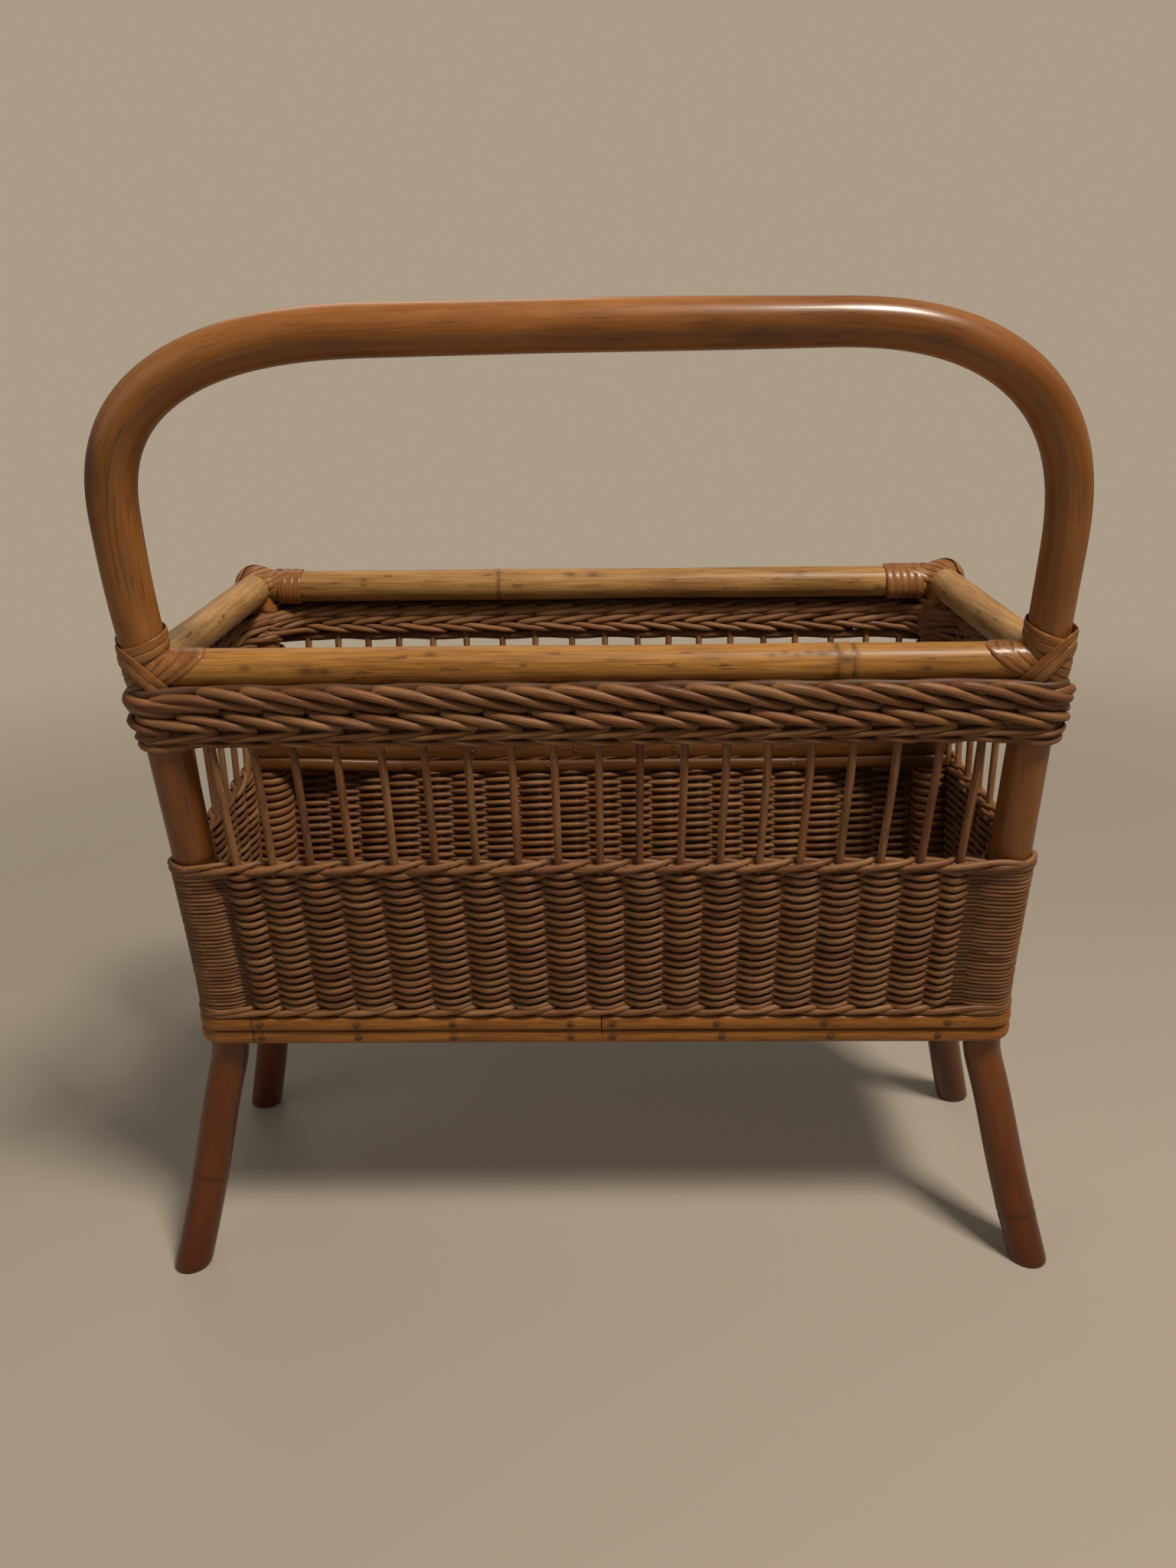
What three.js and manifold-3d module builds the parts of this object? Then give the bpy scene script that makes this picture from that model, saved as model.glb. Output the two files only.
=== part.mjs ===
// A cane magazine basket: a bent pole makes the carrying handle, the front posts and the front
// legs, two more poles make the back posts, and round rails join them at the rim and the base.
// Thin stakes stand between the base strips and a plaited border, and a close weave fills the
// lower part of all four walls. Millimetres, +Z up, front towards -Y, floor at Z = 0.
import * as THREE from "three";
import { mergeVertices } from "three/addons/utils/BufferGeometryUtils.js";
import Module from "manifold-3d";

const wasm = await Module();
wasm.setup();

// Frame sizes. Posts are measured between their centre lines, and a drop or a rise is measured
// down or up from the centre lines of the rim rails or the base rails.
const postSpacing = 412;
const poleRadius = 10.5;
const railRadius = 9;
const rimHeight = 356;
const rimDepth = 181;
const baseHeight = 147;
const baseDepth = 111;
const kinkDrop = 22;
const kinkReach = 10;
const footSplayX = 33.5;
const footSplayY = 26.7;
const backPostRise = 4;

// Handle sizes. The two bends differ, as bent cane does, and a power below one makes them
// squarer than an ellipse.
const handleRise = 144;
const leftBendReach = 122;
const leftBendRise = 76;
const rightBendReach = 113;
const rightBendRise = 96;
const bendPower = 0.8;

// Stakes, weave, border and strips.
const stakeRadius = 2;
const wallStakeCount = 19;
const sideStakeCount = 6;
const stakeFootDrop = 7.5;
const stakeTopDrop = 12;
const tieHeight = 4;
const weaverThickness = 3.2;
const weaveBottomRise = 14.5;
const weaveTopShare = 0.4737;
const lowerTwistRadius = 2.5;
const upperTwistRadius = 3.3;
const borderTopDrop = 5.5;
const borderHeight = 33.5;
const borderReach = 5.2;
const borderInset = 3;
const borderRound = 2;
const stripThickness = 3;
const stripBottomDrop = 8.7;
const stripHeight = 8.6;
const backStripHeight = 7;
const backStripThickness = 3.2;
const backStripEnd = 8;
const stripSeam = 4;
const seamWidth = 0.6;
const boardThickness = 4;

// Shares that shape the border and the half-round cane.
const shoulderShare = 1.5;
const hugShares = [0.65, 0.3];
const halfRoundShares = [[0, -1], [0.55, -0.85], [0.9, -0.45], [1, 0], [0.9, 0.45], [0.55, 0.85], [0, 1]];

// Cane bindings at the corners of the rim.
const bandWidth = 3.7;
const bandThickness = 0.9;
const bandPitch = 4.3;
const bandLayer = 1.5;
const frontTurns = 3;
const backTurns = 4;
const crossTurns = 2;
const cornerTurns = 1;
const frontTurnStart = 9.4;
const frontTurnTilt = 4;
const backTurnStart = 16.4;
const bandShares = [[1, 0], [0.72, 1], [-0.72, 1], [-1, 0], [-0.72, -1], [0.72, -1]];
const crossSlopeShare = 1.15;
const crossEaseShares = [-0.1, 0.2];
const secondEaseShares = [-0.2, 0.2];
const cornerEaseShares = [-0.25, 0.15];
const endShare = 0.1;
const nudgeShare = 0.25;
const probeShare = 0.001;
const leastAcrossShare = 0.001;
const blendPower = 12;

// Clearances, overruns and mesh fineness.
const gap = 0.3;
const overrun = 30;
const poleSides = 12;
const poleStep = 12;
const stakeSides = 6;
const cornerSteps = 6;
const roundSides = cornerSteps * 4;
const twistSides = 8;
const loopSteps = 24;
const bendPoints = 8;
const quarterTurn = Math.PI / 2;
const fullTurn = Math.PI * 2;

const postHalf = postSpacing / 2;
const wallHeight = rimHeight - baseHeight;
const lean = (rimDepth - baseDepth) / 2 / wallHeight;
const kinkHeight = baseHeight - kinkDrop;
const handleHeight = rimHeight + handleRise;
const stakeFoot = baseHeight - stakeFootDrop;
const stakeTop = rimHeight - stakeTopDrop;
const weaveBottom = baseHeight + weaveBottomRise;
const weaveTop = baseHeight + wallHeight * weaveTopShare;
const borderTop = rimHeight - borderTopDrop;
const borderBottom = borderTop - borderHeight;
const lowerStripBottom = baseHeight - stripBottomDrop;
const stakeOffset = poleRadius - stakeRadius;
const skinInner = poleRadius + gap;
const weaveOuter = stakeOffset + stakeRadius + weaverThickness;
const weaveInner = stakeOffset - stakeRadius - weaverThickness;
const stakeSpacing = postSpacing / (wallStakeCount + 1);
const sideShareStep = 2 / (sideStakeCount + 1);
const baseRailInset = railRadius - (stakeOffset - stakeRadius - gap);
const layerRoomShare = 1.35;
const bindingRoom = gap * 3 + bandThickness + bandLayer * layerRoomShare;
const sides = [["left", -1], ["right", 1]];
const walls = [["front", -1], ["back", 1]];

// Half the basket's depth, between post centre lines, at a height above the floor.
function wallHalf(z) {
  return baseDepth / 2 + (z - baseHeight) * lean;
}

const colours = {
  pole: new THREE.MeshStandardMaterial({ color: 0x8f4e26, roughness: 0.32 }),
  rail: new THREE.MeshStandardMaterial({ color: 0xb07a45, roughness: 0.4 }),
  wicker: new THREE.MeshStandardMaterial({ color: 0x7d573c, roughness: 0.6 }),
  strip: new THREE.MeshStandardMaterial({ color: 0xa06a3a, roughness: 0.45 }),
  binding: new THREE.MeshStandardMaterial({ color: 0x84482a, roughness: 0.35 }),
  board: new THREE.MeshStandardMaterial({ color: 0xa98258, roughness: 0.75 }),
};

// A closed three.js geometry as a solid that can be joined and cut.
function solidOf(geometry) {
  const bare = geometry.clone();
  bare.deleteAttribute("normal");
  bare.deleteAttribute("uv");
  const merged = mergeVertices(bare);
  const vertProperties = new Float32Array(merged.attributes.position.array);
  const triVerts = new Uint32Array(merged.index.array);
  return new wasm.Manifold(new wasm.Mesh({ numProp: 3, vertProperties, triVerts }));
}

function geometryOf(solid) {
  const mesh = solid.getMesh();
  const geometry = new THREE.BufferGeometry();
  geometry.setAttribute("position", new THREE.BufferAttribute(new Float32Array(mesh.vertProperties), 3));
  geometry.setIndex(new THREE.BufferAttribute(new Uint32Array(mesh.triVerts), 1));
  return geometry;
}

const basket = new THREE.Group();

function addPiece(name, geometry, material) {
  const drawn = geometry.index ? geometry.toNonIndexed() : geometry;
  drawn.computeVertexNormals();
  const mesh = new THREE.Mesh(drawn, material);
  mesh.name = name;
  basket.add(mesh);
}

// A round pole along a curve.
function roundAlong(extrudePath, radius, steps) {
  const section = new THREE.Shape();
  section.absarc(0, 0, radius, 0, fullTurn);
  const settings = { steps, extrudePath, curveSegments: poleSides / 2, bevelEnabled: false };
  return new THREE.ExtrudeGeometry(section, settings);
}

// A bent pole along a smooth line through the points.
function poleAlong(points, radius) {
  const line = new THREE.CatmullRomCurve3(points, false, "centripetal");
  return roundAlong(line, radius, Math.round(line.getLength() / poleStep));
}

// The centre line of one leg and the post above it, from below the floor up to a height.
function postPoints(sideX, sideY, top) {
  const legAt = (z) => {
    const drop = (kinkHeight - z) / kinkHeight;
    const y = wallHalf(kinkHeight) + drop * footSplayY;
    return new THREE.Vector3(sideX * (postHalf + drop * footSplayX), sideY * y, z);
  };
  const postAt = (z) => new THREE.Vector3(sideX * postHalf, sideY * wallHalf(z), z);
  const bend = new THREE.QuadraticBezierCurve3(
    legAt(kinkHeight - kinkReach), postAt(kinkHeight), postAt(kinkHeight + kinkReach));
  const leg = new THREE.LineCurve3(legAt(-overrun), legAt(kinkHeight - kinkReach));
  const post = new THREE.LineCurve3(postAt(kinkHeight + kinkReach), postAt(top));
  const [legPoints, bendLine, postLine] = [leg, bend, post].map((line) => line.getPoints(bendPoints));
  return [...legPoints, ...bendLine.slice(1), ...postLine.slice(1)];
}

// A quarter of a squared ellipse in the leaning plane of the front posts, from the post to the
// top bar.
function handleBend(side, reach, rise) {
  const points = [];
  for (let step = 1; step <= bendPoints; step++) {
    const turn = (step / bendPoints) * quarterTurn;
    const z = handleHeight - rise + rise * Math.sin(turn) ** bendPower;
    const x = side * (postHalf - reach + reach * Math.cos(turn) ** bendPower);
    points.push(new THREE.Vector3(x, -wallHalf(z), z));
  }
  return points;
}

function handlePoints() {
  const left = postPoints(-1, -1, handleHeight - leftBendRise);
  const right = postPoints(1, -1, handleHeight - rightBendRise);
  const overLeft = handleBend(-1, leftBendReach, leftBendRise);
  const overRight = handleBend(1, rightBendReach, rightBendRise);
  const bar = new THREE.LineCurve3(overLeft.at(-1), overRight.at(-1)).getPoints(bendPoints);
  return [...left, ...overLeft, ...bar.slice(1, -1), ...overRight.reverse(), ...right.reverse()];
}

// Everything below the floor, so that the feet end flat on it.
function underFloor() {
  const depth = overrun * 2;
  const spread = postSpacing * 2 + footSplayX * 2;
  return solidOf(new THREE.BoxGeometry(spread, spread, depth).translate(0, 0, -depth / 2));
}

const hoopPoints = handlePoints();
const backPostTop = rimHeight + backPostRise;
const poleLines = [hoopPoints, postPoints(-1, 1, backPostTop), postPoints(1, 1, backPostTop)];
const poleNames = ["handle_hoop", "back_left_post", "back_right_post"];
const poles = poleLines.map((points) => solidOf(poleAlong(points, poleRadius)).subtract(underFloor()));
const poleRooms = poleLines.map((points) => solidOf(poleAlong(points, poleRadius + gap)));

function clearOfPoles(solid) {
  return poleRooms.reduce((rest, room) => rest.subtract(room), solid);
}

function makePoles() {
  poles.forEach((pole, index) => addPiece(poleNames[index], geometryOf(pole), colours.pole));
}

// A straight rail between two posts, coped to them.
function railBetween(from, to, radius) {
  return solidOf(roundAlong(new THREE.LineCurve3(from, to), radius, 1));
}

// Four rails at one height. The front and back rails fit between the posts, and the side rails
// fit between the posts and clear the other two.
function makeRails(level, z, inset) {
  const x = postHalf - inset;
  const y = wallHalf(z) - inset;
  const at = (sideX, sideY) => new THREE.Vector3(sideX * x, sideY * y, z);
  const addRail = (name, rail) => {
    addPiece(`${name}_${level}_rail`, geometryOf(clearOfPoles(rail)), colours.rail);
  };
  const rooms = [];
  for (const [name, side] of walls) {
    addRail(name, railBetween(at(-1, side), at(1, side), railRadius));
    rooms.push(railBetween(at(-1, side), at(1, side), railRadius + gap));
  }
  for (const [name, side] of sides) {
    const whole = railBetween(at(side, -1), at(side, 1), railRadius);
    addRail(name, rooms.reduce((rest, room) => rest.subtract(room), whole));
  }
}

// A board that lies on the base rails, notched round the posts.
function makeBoard() {
  const bottom = baseHeight + railRadius + gap;
  const reach = stakeOffset - stakeRadius - gap;
  const width = (postHalf + reach) * 2;
  const depth = (wallHalf(bottom) + reach) * 2;
  const board = new THREE.BoxGeometry(width, depth, boardThickness);
  board.translate(0, 0, bottom + boardThickness / 2);
  addPiece("base_board", geometryOf(clearOfPoles(solidOf(board))), colours.board);
}

// Moves an upright shape out with the leaning walls: a share of 1 follows the back wall,
// -1 the front wall, and shares between them fan out along the side walls.
function leanOut(geometry, share) {
  const position = geometry.attributes.position;
  for (let index = 0; index < position.count; index++) {
    position.setY(index, position.getY(index) + share * wallHalf(position.getZ(index)));
  }
  return geometry;
}

function upright(radius, bottom, top, facets) {
  const height = top - bottom;
  const rod = new THREE.CylinderGeometry(radius, radius, height, facets);
  return rod.rotateX(quarterTurn).translate(0, 0, bottom + height / 2);
}

// A ring round the four posts. Its profile is a closed list of points, each an offset outwards
// from the post centre lines and a height, and it turns each corner about the post's centre.
// Where a seam is given, the ring is cut there on the front wall.
function ringRound(profile, seam = null) {
  const columns = [];
  const corners = [[1, -1, -1], [1, 1, 0], [-1, 1, 1], [-1, -1, 2]];
  for (const [sideX, sideY, quarter] of corners) {
    for (let step = 0; step <= cornerSteps; step++) {
      const turn = (quarter + step / cornerSteps) * quarterTurn;
      columns.push(profile.map(([offset, z]) => [
        sideX * postHalf + Math.max(offset, 0) * Math.cos(turn) + Math.min(offset, 0) * sideX,
        sideY * wallHalf(z) + Math.max(offset, 0) * Math.sin(turn) + Math.min(offset, 0) * sideY,
        z,
      ]));
    }
  }
  if (seam !== null) {
    const cut = (x) => profile.map(([offset, z]) => [x, -wallHalf(z) - offset, z]);
    columns.unshift(cut(seam + seamWidth));
    columns.push(cut(seam));
  }
  return loft(columns, seam === null);
}

// Skins a row of like closed sections. A closed row joins its last section to its first, and an
// open row has a fan of triangles at each end.
function loft(columns, closed) {
  const count = columns[0].length;
  const triangles = [];
  const spans = closed ? columns.length : columns.length - 1;
  for (let span = 0; span < spans; span++) {
    const next = (span + 1) % columns.length;
    for (let corner = 0; corner < count; corner++) {
      const beside = (corner + 1) % count;
      const [a, b] = [columns[span][corner], columns[next][corner]];
      const [c, d] = [columns[next][beside], columns[span][beside]];
      triangles.push(a, b, c, a, c, d);
    }
  }
  for (let corner = 1; !closed && corner < count - 1; corner++) {
    const [first, last] = [columns[0], columns.at(-1)];
    triangles.push(first[0], first[corner], first[corner + 1]);
    triangles.push(last[0], last[corner + 1], last[corner]);
  }
  const geometry = new THREE.BufferGeometry();
  geometry.setAttribute("position", new THREE.Float32BufferAttribute(triangles.flat(), 3));
  return geometry;
}

const wallNumbers = Array.from({ length: wallStakeCount }, (_, index) => index + 1);
const sideNumbers = Array.from({ length: sideStakeCount }, (_, index) => index + 1);
const wallStakes = wallNumbers.map((number) => number * stakeSpacing - postHalf);
const sideShares = sideNumbers.map((number) => number * sideShareStep - 1);

function wallStake(x, side, radius, bottom = stakeFoot, top = stakeTop) {
  const rod = upright(radius, bottom, top, stakeSides);
  return leanOut(rod.translate(x, side * stakeOffset, 0), side);
}

function sideStake(side, share, radius, bottom = stakeFoot, top = stakeTop) {
  const rod = upright(radius, bottom, top, stakeSides);
  return leanOut(rod.translate(side * (postHalf + stakeOffset), 0, 0), share);
}

// The back stakes bend over at the top and run into each other inside the border.
function backStakes(room) {
  const radius = stakeRadius + room;
  const length = wallStakes.at(-1) - wallStakes[0] + radius * 2;
  const tie = new THREE.BoxGeometry(length, radius * 2, tieHeight + room * 2);
  tie.translate(0, stakeOffset, stakeTop - tieHeight / 2);
  const bottom = stakeFoot - room;
  const top = stakeTop + room;
  const rods = wallStakes.map((x) => solidOf(wallStake(x, 1, radius, bottom, top)));
  return rods.reduce((sum, rod) => sum.add(rod), solidOf(leanOut(tie, 1)));
}

// The room that all the stakes need inside the weave and the border.
function stakeRooms() {
  const radius = stakeRadius + gap;
  const top = stakeTop + gap;
  const rods = wallStakes.map((x) => wallStake(x, -1, radius, stakeFoot, top));
  for (const [, side] of sides) {
    rods.push(...sideShares.map((share) => sideStake(side, share, radius, stakeFoot, top)));
  }
  return rods.map(solidOf).reduce((sum, rod) => sum.add(rod), backStakes(gap));
}

function makeStakes() {
  wallStakes.forEach((x, index) => {
    const number = String(index + 1).padStart(2, "0");
    addPiece(`front_stake_${number}`, wallStake(x, -1, stakeRadius), colours.wicker);
  });
  for (const [name, side] of sides) {
    sideShares.forEach((share, index) => {
      addPiece(`${name}_stake_${index + 1}`, sideStake(side, share, stakeRadius), colours.wicker);
    });
  }
  addPiece("back_stakes", geometryOf(backStakes(0)), colours.wicker);
}

// The woven lower wall, with a sleeve of weavers round each post.
function makeWeave(rooms) {
  const outside = [[weaveOuter, weaveBottom], [weaveOuter, weaveTop]];
  const wall = ringRound([[weaveInner, weaveBottom], ...outside, [weaveInner, weaveTop]]);
  const sleeves = atPosts(weaveOuter, weaveBottom, weaveTop);
  const woven = sleeves.reduce((sum, sleeve) => sum.add(sleeve), solidOf(wall));
  addPiece("woven_wall", geometryOf(clearOfPoles(woven).subtract(rooms)), colours.wicker);
}

// Four round uprights about the centre lines of the posts.
function atPosts(radius, bottom, top) {
  return sides.flatMap(([, sideX]) => walls.map(([, sideY]) => {
    const rod = upright(radius, bottom, top, roundSides).translate(sideX * postHalf, 0, 0);
    return solidOf(leanOut(rod, sideY));
  }));
}

// The plaited border: two rows of thick strands above a thin one, under the rim rails. Its inner
// top edge follows the rails, with room between for the bindings.
function makeBorder(rooms) {
  const hug = railRadius + bindingRoom;
  const middle = (borderBottom + borderTop) / 2;
  const hookTop = (borderBottom + middle) / 2;
  const outer = poleRadius + borderReach;
  const shoulder = borderRound * shoulderShare;
  const innerTop = hugShares.map((share) => {
    const turn = share * quarterTurn;
    return [hug * Math.sin(turn), rimHeight - hug * Math.cos(turn)];
  });
  const profile = [
    [borderInset, borderBottom + borderRound],
    [outer - borderRound * 2, borderBottom],
    [outer - borderRound, borderBottom + borderRound],
    [outer - borderRound, hookTop - borderRound],
    [outer - shoulder, hookTop],
    [outer, hookTop + borderRound],
    [outer, middle],
    [outer - borderRound, middle + borderRound],
    [outer, middle + borderRound * 2],
    [outer, borderTop - borderRound],
    [outer - shoulder, borderTop],
    ...innerTop,
    [borderInset, rimHeight - hug - borderRound],
  ];
  const pockets = atPosts(poleRadius + bindingRoom, middle + borderRound, rimHeight);
  const border = pockets.reduce((rest, pocket) => rest.subtract(pocket), solidOf(ringRound(profile)));
  addPiece("plaited_border", geometryOf(clearOfPoles(border).subtract(rooms)), colours.wicker);
}

// A round ring of twisted rods that locks the edge of the weave.
function makeTwist(name, radius, z) {
  const profile = Array.from({ length: twistSides }, (_, index) => {
    const turn = (index / twistSides) * fullTurn;
    return [skinInner + radius * (1 + Math.cos(turn)), z + radius * Math.sin(turn)];
  });
  addPiece(name, ringRound(profile), colours.wicker);
}

// Half-round cane: a flat inner face and a rounded outer one, as offsets and heights.
function halfRound(inner, thickness, bottom, height) {
  const middle = bottom + height / 2;
  return halfRoundShares.map(([out, up]) => [inner + out * thickness, middle + up * height / 2]);
}

function makeBaseStrips() {
  const courses = [["lower", lowerStripBottom], ["upper", lowerStripBottom + stripHeight + gap]];
  for (const [course, bottom] of courses) {
    const profile = halfRound(skinInner, stripThickness, bottom, stripHeight);
    addPiece(`${course}_base_strip`, ringRound(profile, stripSeam), colours.strip);
  }
}

// Two courses of half-round cane on the inner face of the back wall, each in two lengths.
function makeBackStrips() {
  const face = stakeOffset - stakeRadius - gap;
  const end = postHalf - weaveOuter - backStripEnd;
  const courses = [["lower", weaveTop + gap], ["upper", weaveTop + gap * 2 + backStripHeight]];
  for (const [course, bottom] of courses) {
    const profile = halfRound(0, backStripThickness, bottom, backStripHeight);
    const section = (x) => profile.map(([offset, z]) => [x, wallHalf(z) + face - offset, z]);
    const left = loft([section(-end), section(-seamWidth / 2)], false);
    const right = loft([section(seamWidth / 2), section(end)], false);
    addPiece(`${course}_back_strip_left`, left, colours.strip);
    addPiece(`${course}_back_strip_right`, right, colours.strip);
  }
}

// How far a flat cane has to stand off a joint's centre in a direction, to lie on the poles and
// rails that meet there. Each arm has an axis and a radius, and the power blends their surfaces.
function standOff(direction, arms, core, lift) {
  let sum = (core + lift) ** blendPower;
  for (const { axis, radius } of arms) {
    if (direction.dot(axis) > 0) {
      const across = Math.max(direction.clone().cross(axis).length(), leastAcrossShare);
      sum += ((radius + lift) / across) ** blendPower;
    }
  }
  return sum ** (1 / blendPower);
}

// The point that a binding has reached after some turns. Each turn goes once round the joint's
// own axis, and its law gives how far along that axis it lies and how many layers it stands off.
function bindingPoint(joint, turns) {
  const angle = turns * fullTurn;
  const { slope, layers } = joint.law(turns, angle);
  const direction = joint.across.clone().multiplyScalar(Math.cos(angle));
  direction.addScaledVector(joint.beside, Math.sin(angle));
  direction.addScaledVector(joint.axis, slope).normalize();
  const lift = gap * 2 + bandThickness / 2 + layers * bandLayer;
  return direction.multiplyScalar(standOff(direction, joint.arms, joint.core, lift));
}

// The direction that points out of the joint's blended surface at a point.
function bindingNormal(joint, point) {
  const probe = poleRadius * probeShare;
  const level = (at) => at.length() / standOff(at.clone().normalize(), joint.arms, joint.core, 0);
  const normal = new THREE.Vector3();
  for (const part of ["x", "y", "z"]) {
    const ahead = point.clone();
    const behind = point.clone();
    ahead[part] += probe;
    behind[part] -= probe;
    normal[part] = level(ahead) - level(behind);
  }
  return normal.normalize();
}

// One unbroken flat cane wound round a joint, as a tube with a flattened six-sided section.
function bindingRings(joint) {
  const rings = [];
  const nudge = nudgeShare / loopSteps;
  for (let step = 0; step <= joint.turns * loopSteps; step++) {
    const turns = step / loopSteps;
    const point = bindingPoint(joint, turns);
    const travel = bindingPoint(joint, turns + nudge).sub(bindingPoint(joint, turns - nudge)).normalize();
    const side = travel.clone().cross(bindingNormal(joint, point)).normalize();
    const rise = side.clone().cross(travel);
    const middle = joint.centre.clone().add(point);
    rings.push(bandShares.map(([across, up]) => {
      const corner = middle.clone().addScaledVector(side, across * bandWidth / 2);
      return corner.addScaledVector(rise, up * bandThickness / 2).toArray();
    }));
  }
  return rings;
}

// The least distance between points of a binding that are at least half a turn apart on it.
function leastGap(rings) {
  let least = Infinity;
  for (let first = 0; first < rings.length; first++) {
    for (let second = first + loopSteps / 2; second < rings.length; second++) {
      for (const one of rings[first]) {
        for (const other of rings[second]) {
          least = Math.min(least, Math.hypot(one[0] - other[0], one[1] - other[1], one[2] - other[2]));
        }
      }
    }
  }
  return least;
}

// Rises from 0 to 1 as the turns pass a count, between two shares of a turn about it.
function easeAt(turns, count, [before, after]) {
  return THREE.MathUtils.smoothstep(turns, count + before, count + after);
}

// At a front corner the cane takes its turns round the handle's post above the rails, then
// crosses the corner once each way and so makes an X. A turn is counted from the inner corner.
function frontLaw(turns, angle) {
  const rise = frontTurnStart + bandPitch * (frontTurns - turns - 1) + frontTurnTilt * Math.cos(angle);
  const helix = rise / (poleRadius + gap);
  const down = Math.sin(angle);
  const toCross = easeAt(turns, frontTurns, crossEaseShares);
  const toSecond = easeAt(turns, frontTurns + 1, secondEaseShares);
  const cross = down * (1 - 2 * toSecond);
  const slope = helix * (1 - toCross) + cross * crossSlopeShare * toCross;
  const over = toCross * (1 + cross) / 2;
  const hump = toSecond * (1 - cross ** 2);
  return { slope, layers: over + hump };
}

// At a back corner it takes its turns round the back rail beside the post, then goes once
// over the top of the corner and round the post below the side rail.
function backLaw(turns, angle) {
  const helix = (backTurnStart + bandPitch * (backTurns - 1 - turns)) / (railRadius + gap);
  const corner = Math.cos(angle - quarterTurn / 2);
  const toCorner = easeAt(turns, backTurns, cornerEaseShares);
  return { slope: helix * (1 - toCorner) + corner * toCorner, layers: 0 };
}

// The joint at one corner of the rim: the poles and rails that meet there, and how it is bound.
function cornerJoint(sideX, sideY) {
  const up = new THREE.Vector3(0, 0, 1);
  const inX = new THREE.Vector3(-sideX, 0, 0);
  const inY = new THREE.Vector3(0, -sideY, 0);
  const postUp = new THREE.Vector3(0, sideY * lean, 1).normalize();
  const postDown = { axis: postUp.clone().negate(), radius: poleRadius };
  const arms = [{ axis: inX, radius: railRadius }, { axis: inY, radius: railRadius }, postDown];
  const centre = new THREE.Vector3(sideX * postHalf, sideY * wallHalf(rimHeight), rimHeight);
  if (sideY < 0) {
    arms.push({ axis: postUp, radius: poleRadius });
    const across = inX.clone().add(inY).normalize();
    const beside = inY.clone().sub(inX).normalize();
    const turns = frontTurns + crossTurns - endShare;
    return { centre, arms, axis: postUp, across, beside, core: poleRadius, law: frontLaw, turns };
  }
  const core = Math.hypot(poleRadius, backPostRise + poleRadius * lean);
  const turns = backTurns + cornerTurns - endShare;
  const beside = inY.clone().negate();
  return { centre, arms, axis: inX, across: up, beside, core, law: backLaw, turns };
}

function makeBindings() {
  for (const [wall, sideY] of walls) {
    for (const [side, sideX] of sides) {
      const name = `${wall}_${side}_binding`;
      const rings = bindingRings(cornerJoint(sideX, sideY));
      console.log(`${name}: least gap to itself ${leastGap(rings).toFixed(2)} mm`);
      addPiece(name, loft(rings, false), colours.binding);
    }
  }
}

// Sets the part's origin on the floor, in the middle of its width and depth.
function centreOnFloor() {
  const middle = new THREE.Box3().setFromObject(basket).getCenter(new THREE.Vector3());
  basket.position.set(-middle.x, -middle.y, 0);
  basket.updateMatrixWorld(true);
}

makePoles();
makeRails("rim", rimHeight, 0);
makeRails("base", baseHeight, baseRailInset);
makeBoard();
makeStakes();
const rooms = stakeRooms();
makeWeave(rooms);
makeBorder(rooms);
makeTwist("lower_weave_twist", lowerTwistRadius, weaveBottom - gap - lowerTwistRadius);
makeTwist("upper_weave_twist", upperTwistRadius, weaveTop + gap + upperTwistRadius);
makeBaseStrips();
makeBackStrips();
makeBindings();
centreOnFloor();

export default basket;
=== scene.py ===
import bpy
import numpy as np
from mathutils import Matrix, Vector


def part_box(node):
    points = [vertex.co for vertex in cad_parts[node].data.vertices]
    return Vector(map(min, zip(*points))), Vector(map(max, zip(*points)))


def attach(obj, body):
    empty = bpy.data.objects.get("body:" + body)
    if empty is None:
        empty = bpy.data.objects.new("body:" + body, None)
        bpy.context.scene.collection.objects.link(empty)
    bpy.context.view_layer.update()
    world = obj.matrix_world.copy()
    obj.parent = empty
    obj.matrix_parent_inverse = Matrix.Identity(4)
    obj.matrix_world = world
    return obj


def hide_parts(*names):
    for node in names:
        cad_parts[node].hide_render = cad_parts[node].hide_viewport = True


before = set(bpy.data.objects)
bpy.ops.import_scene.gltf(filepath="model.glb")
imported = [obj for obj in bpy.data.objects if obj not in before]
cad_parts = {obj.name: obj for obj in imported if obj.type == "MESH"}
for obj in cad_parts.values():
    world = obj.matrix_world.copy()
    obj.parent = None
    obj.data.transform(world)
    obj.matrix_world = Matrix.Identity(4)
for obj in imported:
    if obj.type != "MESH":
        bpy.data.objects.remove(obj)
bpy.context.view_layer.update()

MM = 0.001

# The walls.
# The four posts stand in a rectangle, and the front and back walls lean out as they rise. The
# rails of the rim give the posts' spacing, and the base is that much narrower.
BASE_HEIGHT = 147.0
BASE_DEPTH = 111.0
WALL_SPACES = 20
SIDE_SPACES = 7
CORNER_SPACES = 1
SPREAD = 3.4
SPREAD_HEIGHT = 112.0
SPREAD_REACH = 48.0
UNEVEN_PLACES = (0, 1, 3, 12, 18, 19, 20, 29, 32, 33, 36, 38, 40, 41, 44, 45, 48, 49)
UNEVEN_SHIFTS = (0, 0.13, 0.02, 0, -0.2, -0.23, 0, 0, 0.12, 0.16, 0, -0.17, -0.22, -0.13, 0, 0, -0.3, 0)
DRIFT_PLACES = (0, 0.6, 1.6, 2.6, 5.6, 9.5, 13.5, 18.6, 19.2, 20)
DRIFT_SHIFTS = (0, 0.18, -0.07, -0.07, 0, 0, -0.14, -0.15, -0.12, 0)
DRIFT_HEIGHTS = (162, 248, 300)
DRIFT_SHARES = (1, 0.5, 0)


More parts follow.
